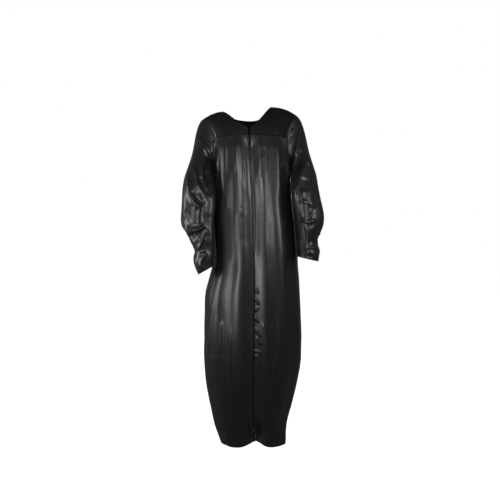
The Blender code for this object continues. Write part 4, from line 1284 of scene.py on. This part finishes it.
# How far each row of stitches lies from its edge, then one stitch's own measures
stitch = {
    "flyReach": 0.0070,
    "hemReach": 0.0165,
    "yokeReach": 0.0030,
    "neckReach": 0.0055,
    "samples": {"fly": 700, "hem": 400, "yoke": 300, "neck": 200},  # points on each row's line
    "flyEnds": (0.004, 0.003),  # above the hem, below the yoke seam
    "hemStart": 0.002,  # from the zip's edge
    "hemEnd": 0.01,  # radians from the side seam
    "yokeTurn": 0.11,  # metres of cloth for each radian of a yoke's turn, at its seam
    "lift": 0.0001,
    "length": 0.0026,
    "gap": 0.0009,
    "width": 0.0005,
    "thickness": 0.0004,
    "lean": 0.35,
}


def makeStitches(name, points, normals):
    # Lock stitches along a line of points on the cloth: the line's length is cut into even steps, and a
    # flat bead of thread lies along each.
    reach = runUp(np.linalg.norm(np.diff(points, axis=0), axis=1))
    length = stitch["length"]
    places = np.arange(length, reach[-1] - length, length + stitch["gap"])
    at, ahead, behind, out = (
        np.stack([np.interp(where, reach, line[:, i]) for i in range(3)], axis=1)
        for where, line in (
            (places, points), (places + length / 2, points), (places - length / 2, points), (places, normals),
        )
    )
    along = unit(ahead - behind)
    out = unit(out)
    out = unit(out - (out * along).sum(axis=1, keepdims=True) * along)
    shape = boxShape((stitch["width"], stitch["thickness"], length), stitch["lean"])
    scatterShapes(name, shape, at + stitch["lift"] * out, np.cross(along, out), out, along, thread)


for side, word in ((-1, "left"), (1, "right")):
    makeTape(side, "zip_tape_" + word)
    makeTeeth(side, "zip_teeth_" + word)
    makeStops(side, "zip_stops_" + word)
for name in ("zip_slider", "zip_pull_tab"):
    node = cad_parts[name]
    node.data.materials.clear()
    node.data.materials.append(zinc)
print("zip made")

for side, word in ((-1, "left"), (1, "right")):
    up, down = stitch["flyEnds"]
    heights = np.linspace(body["hem"] + up, body["frontSeam"] - down, stitch["samples"]["fly"])
    makeStitches("fly_stitches_" + word, *flyLine(side, heights, stitch["flyReach"])[:2])
    hemLine = np.full(stitch["samples"]["hem"], body["hem"] + stitch["hemReach"])
    start = float(angleAt(side, halfGap(body["hem"]) + stitch["hemStart"], body["hem"]))
    for part, ends, limits in (
        ("front", (start, math.pi / 2 - stitch["hemEnd"]), (0.0, math.pi / 2)),
        ("back", (math.pi / 2 + stitch["hemEnd"], math.pi), (math.pi / 2, math.pi)),
    ):
        points, normals = bodyCloth(side, np.linspace(*ends, len(hemLine)), hemLine, *limits)
        makeStitches("hem_stitches_" + part + "_" + word, points, normals)
    for front, part in ((True, "front"), (False, "back")):
        columns = yokeColumns(side, front)
        angles = np.linspace(columns[0], columns[-1], stitch["samples"]["yoke"])
        points, normals = yokeCloth(side, angles, stitch["yokeReach"] / stitch["yokeTurn"], front)
        makeStitches("yoke_stitches_" + part + "_" + word, points, normals)
        neckColumn = columns[panelGrid["neckColumns"] - 1]
        angles = np.linspace(columns[0], neckColumn, stitch["samples"]["neck"])
        turns = topTurn(side, angles, front) - stitch["neckReach"] / body["neckTurn"]
        makeStitches("neck_stitches_" + part + "_" + word, *yokeCloth(side, angles, turns, front))
    makeStitches("cuff_stitches_" + word, *cuffLines["sleeve_" + word])
print("stitching made")
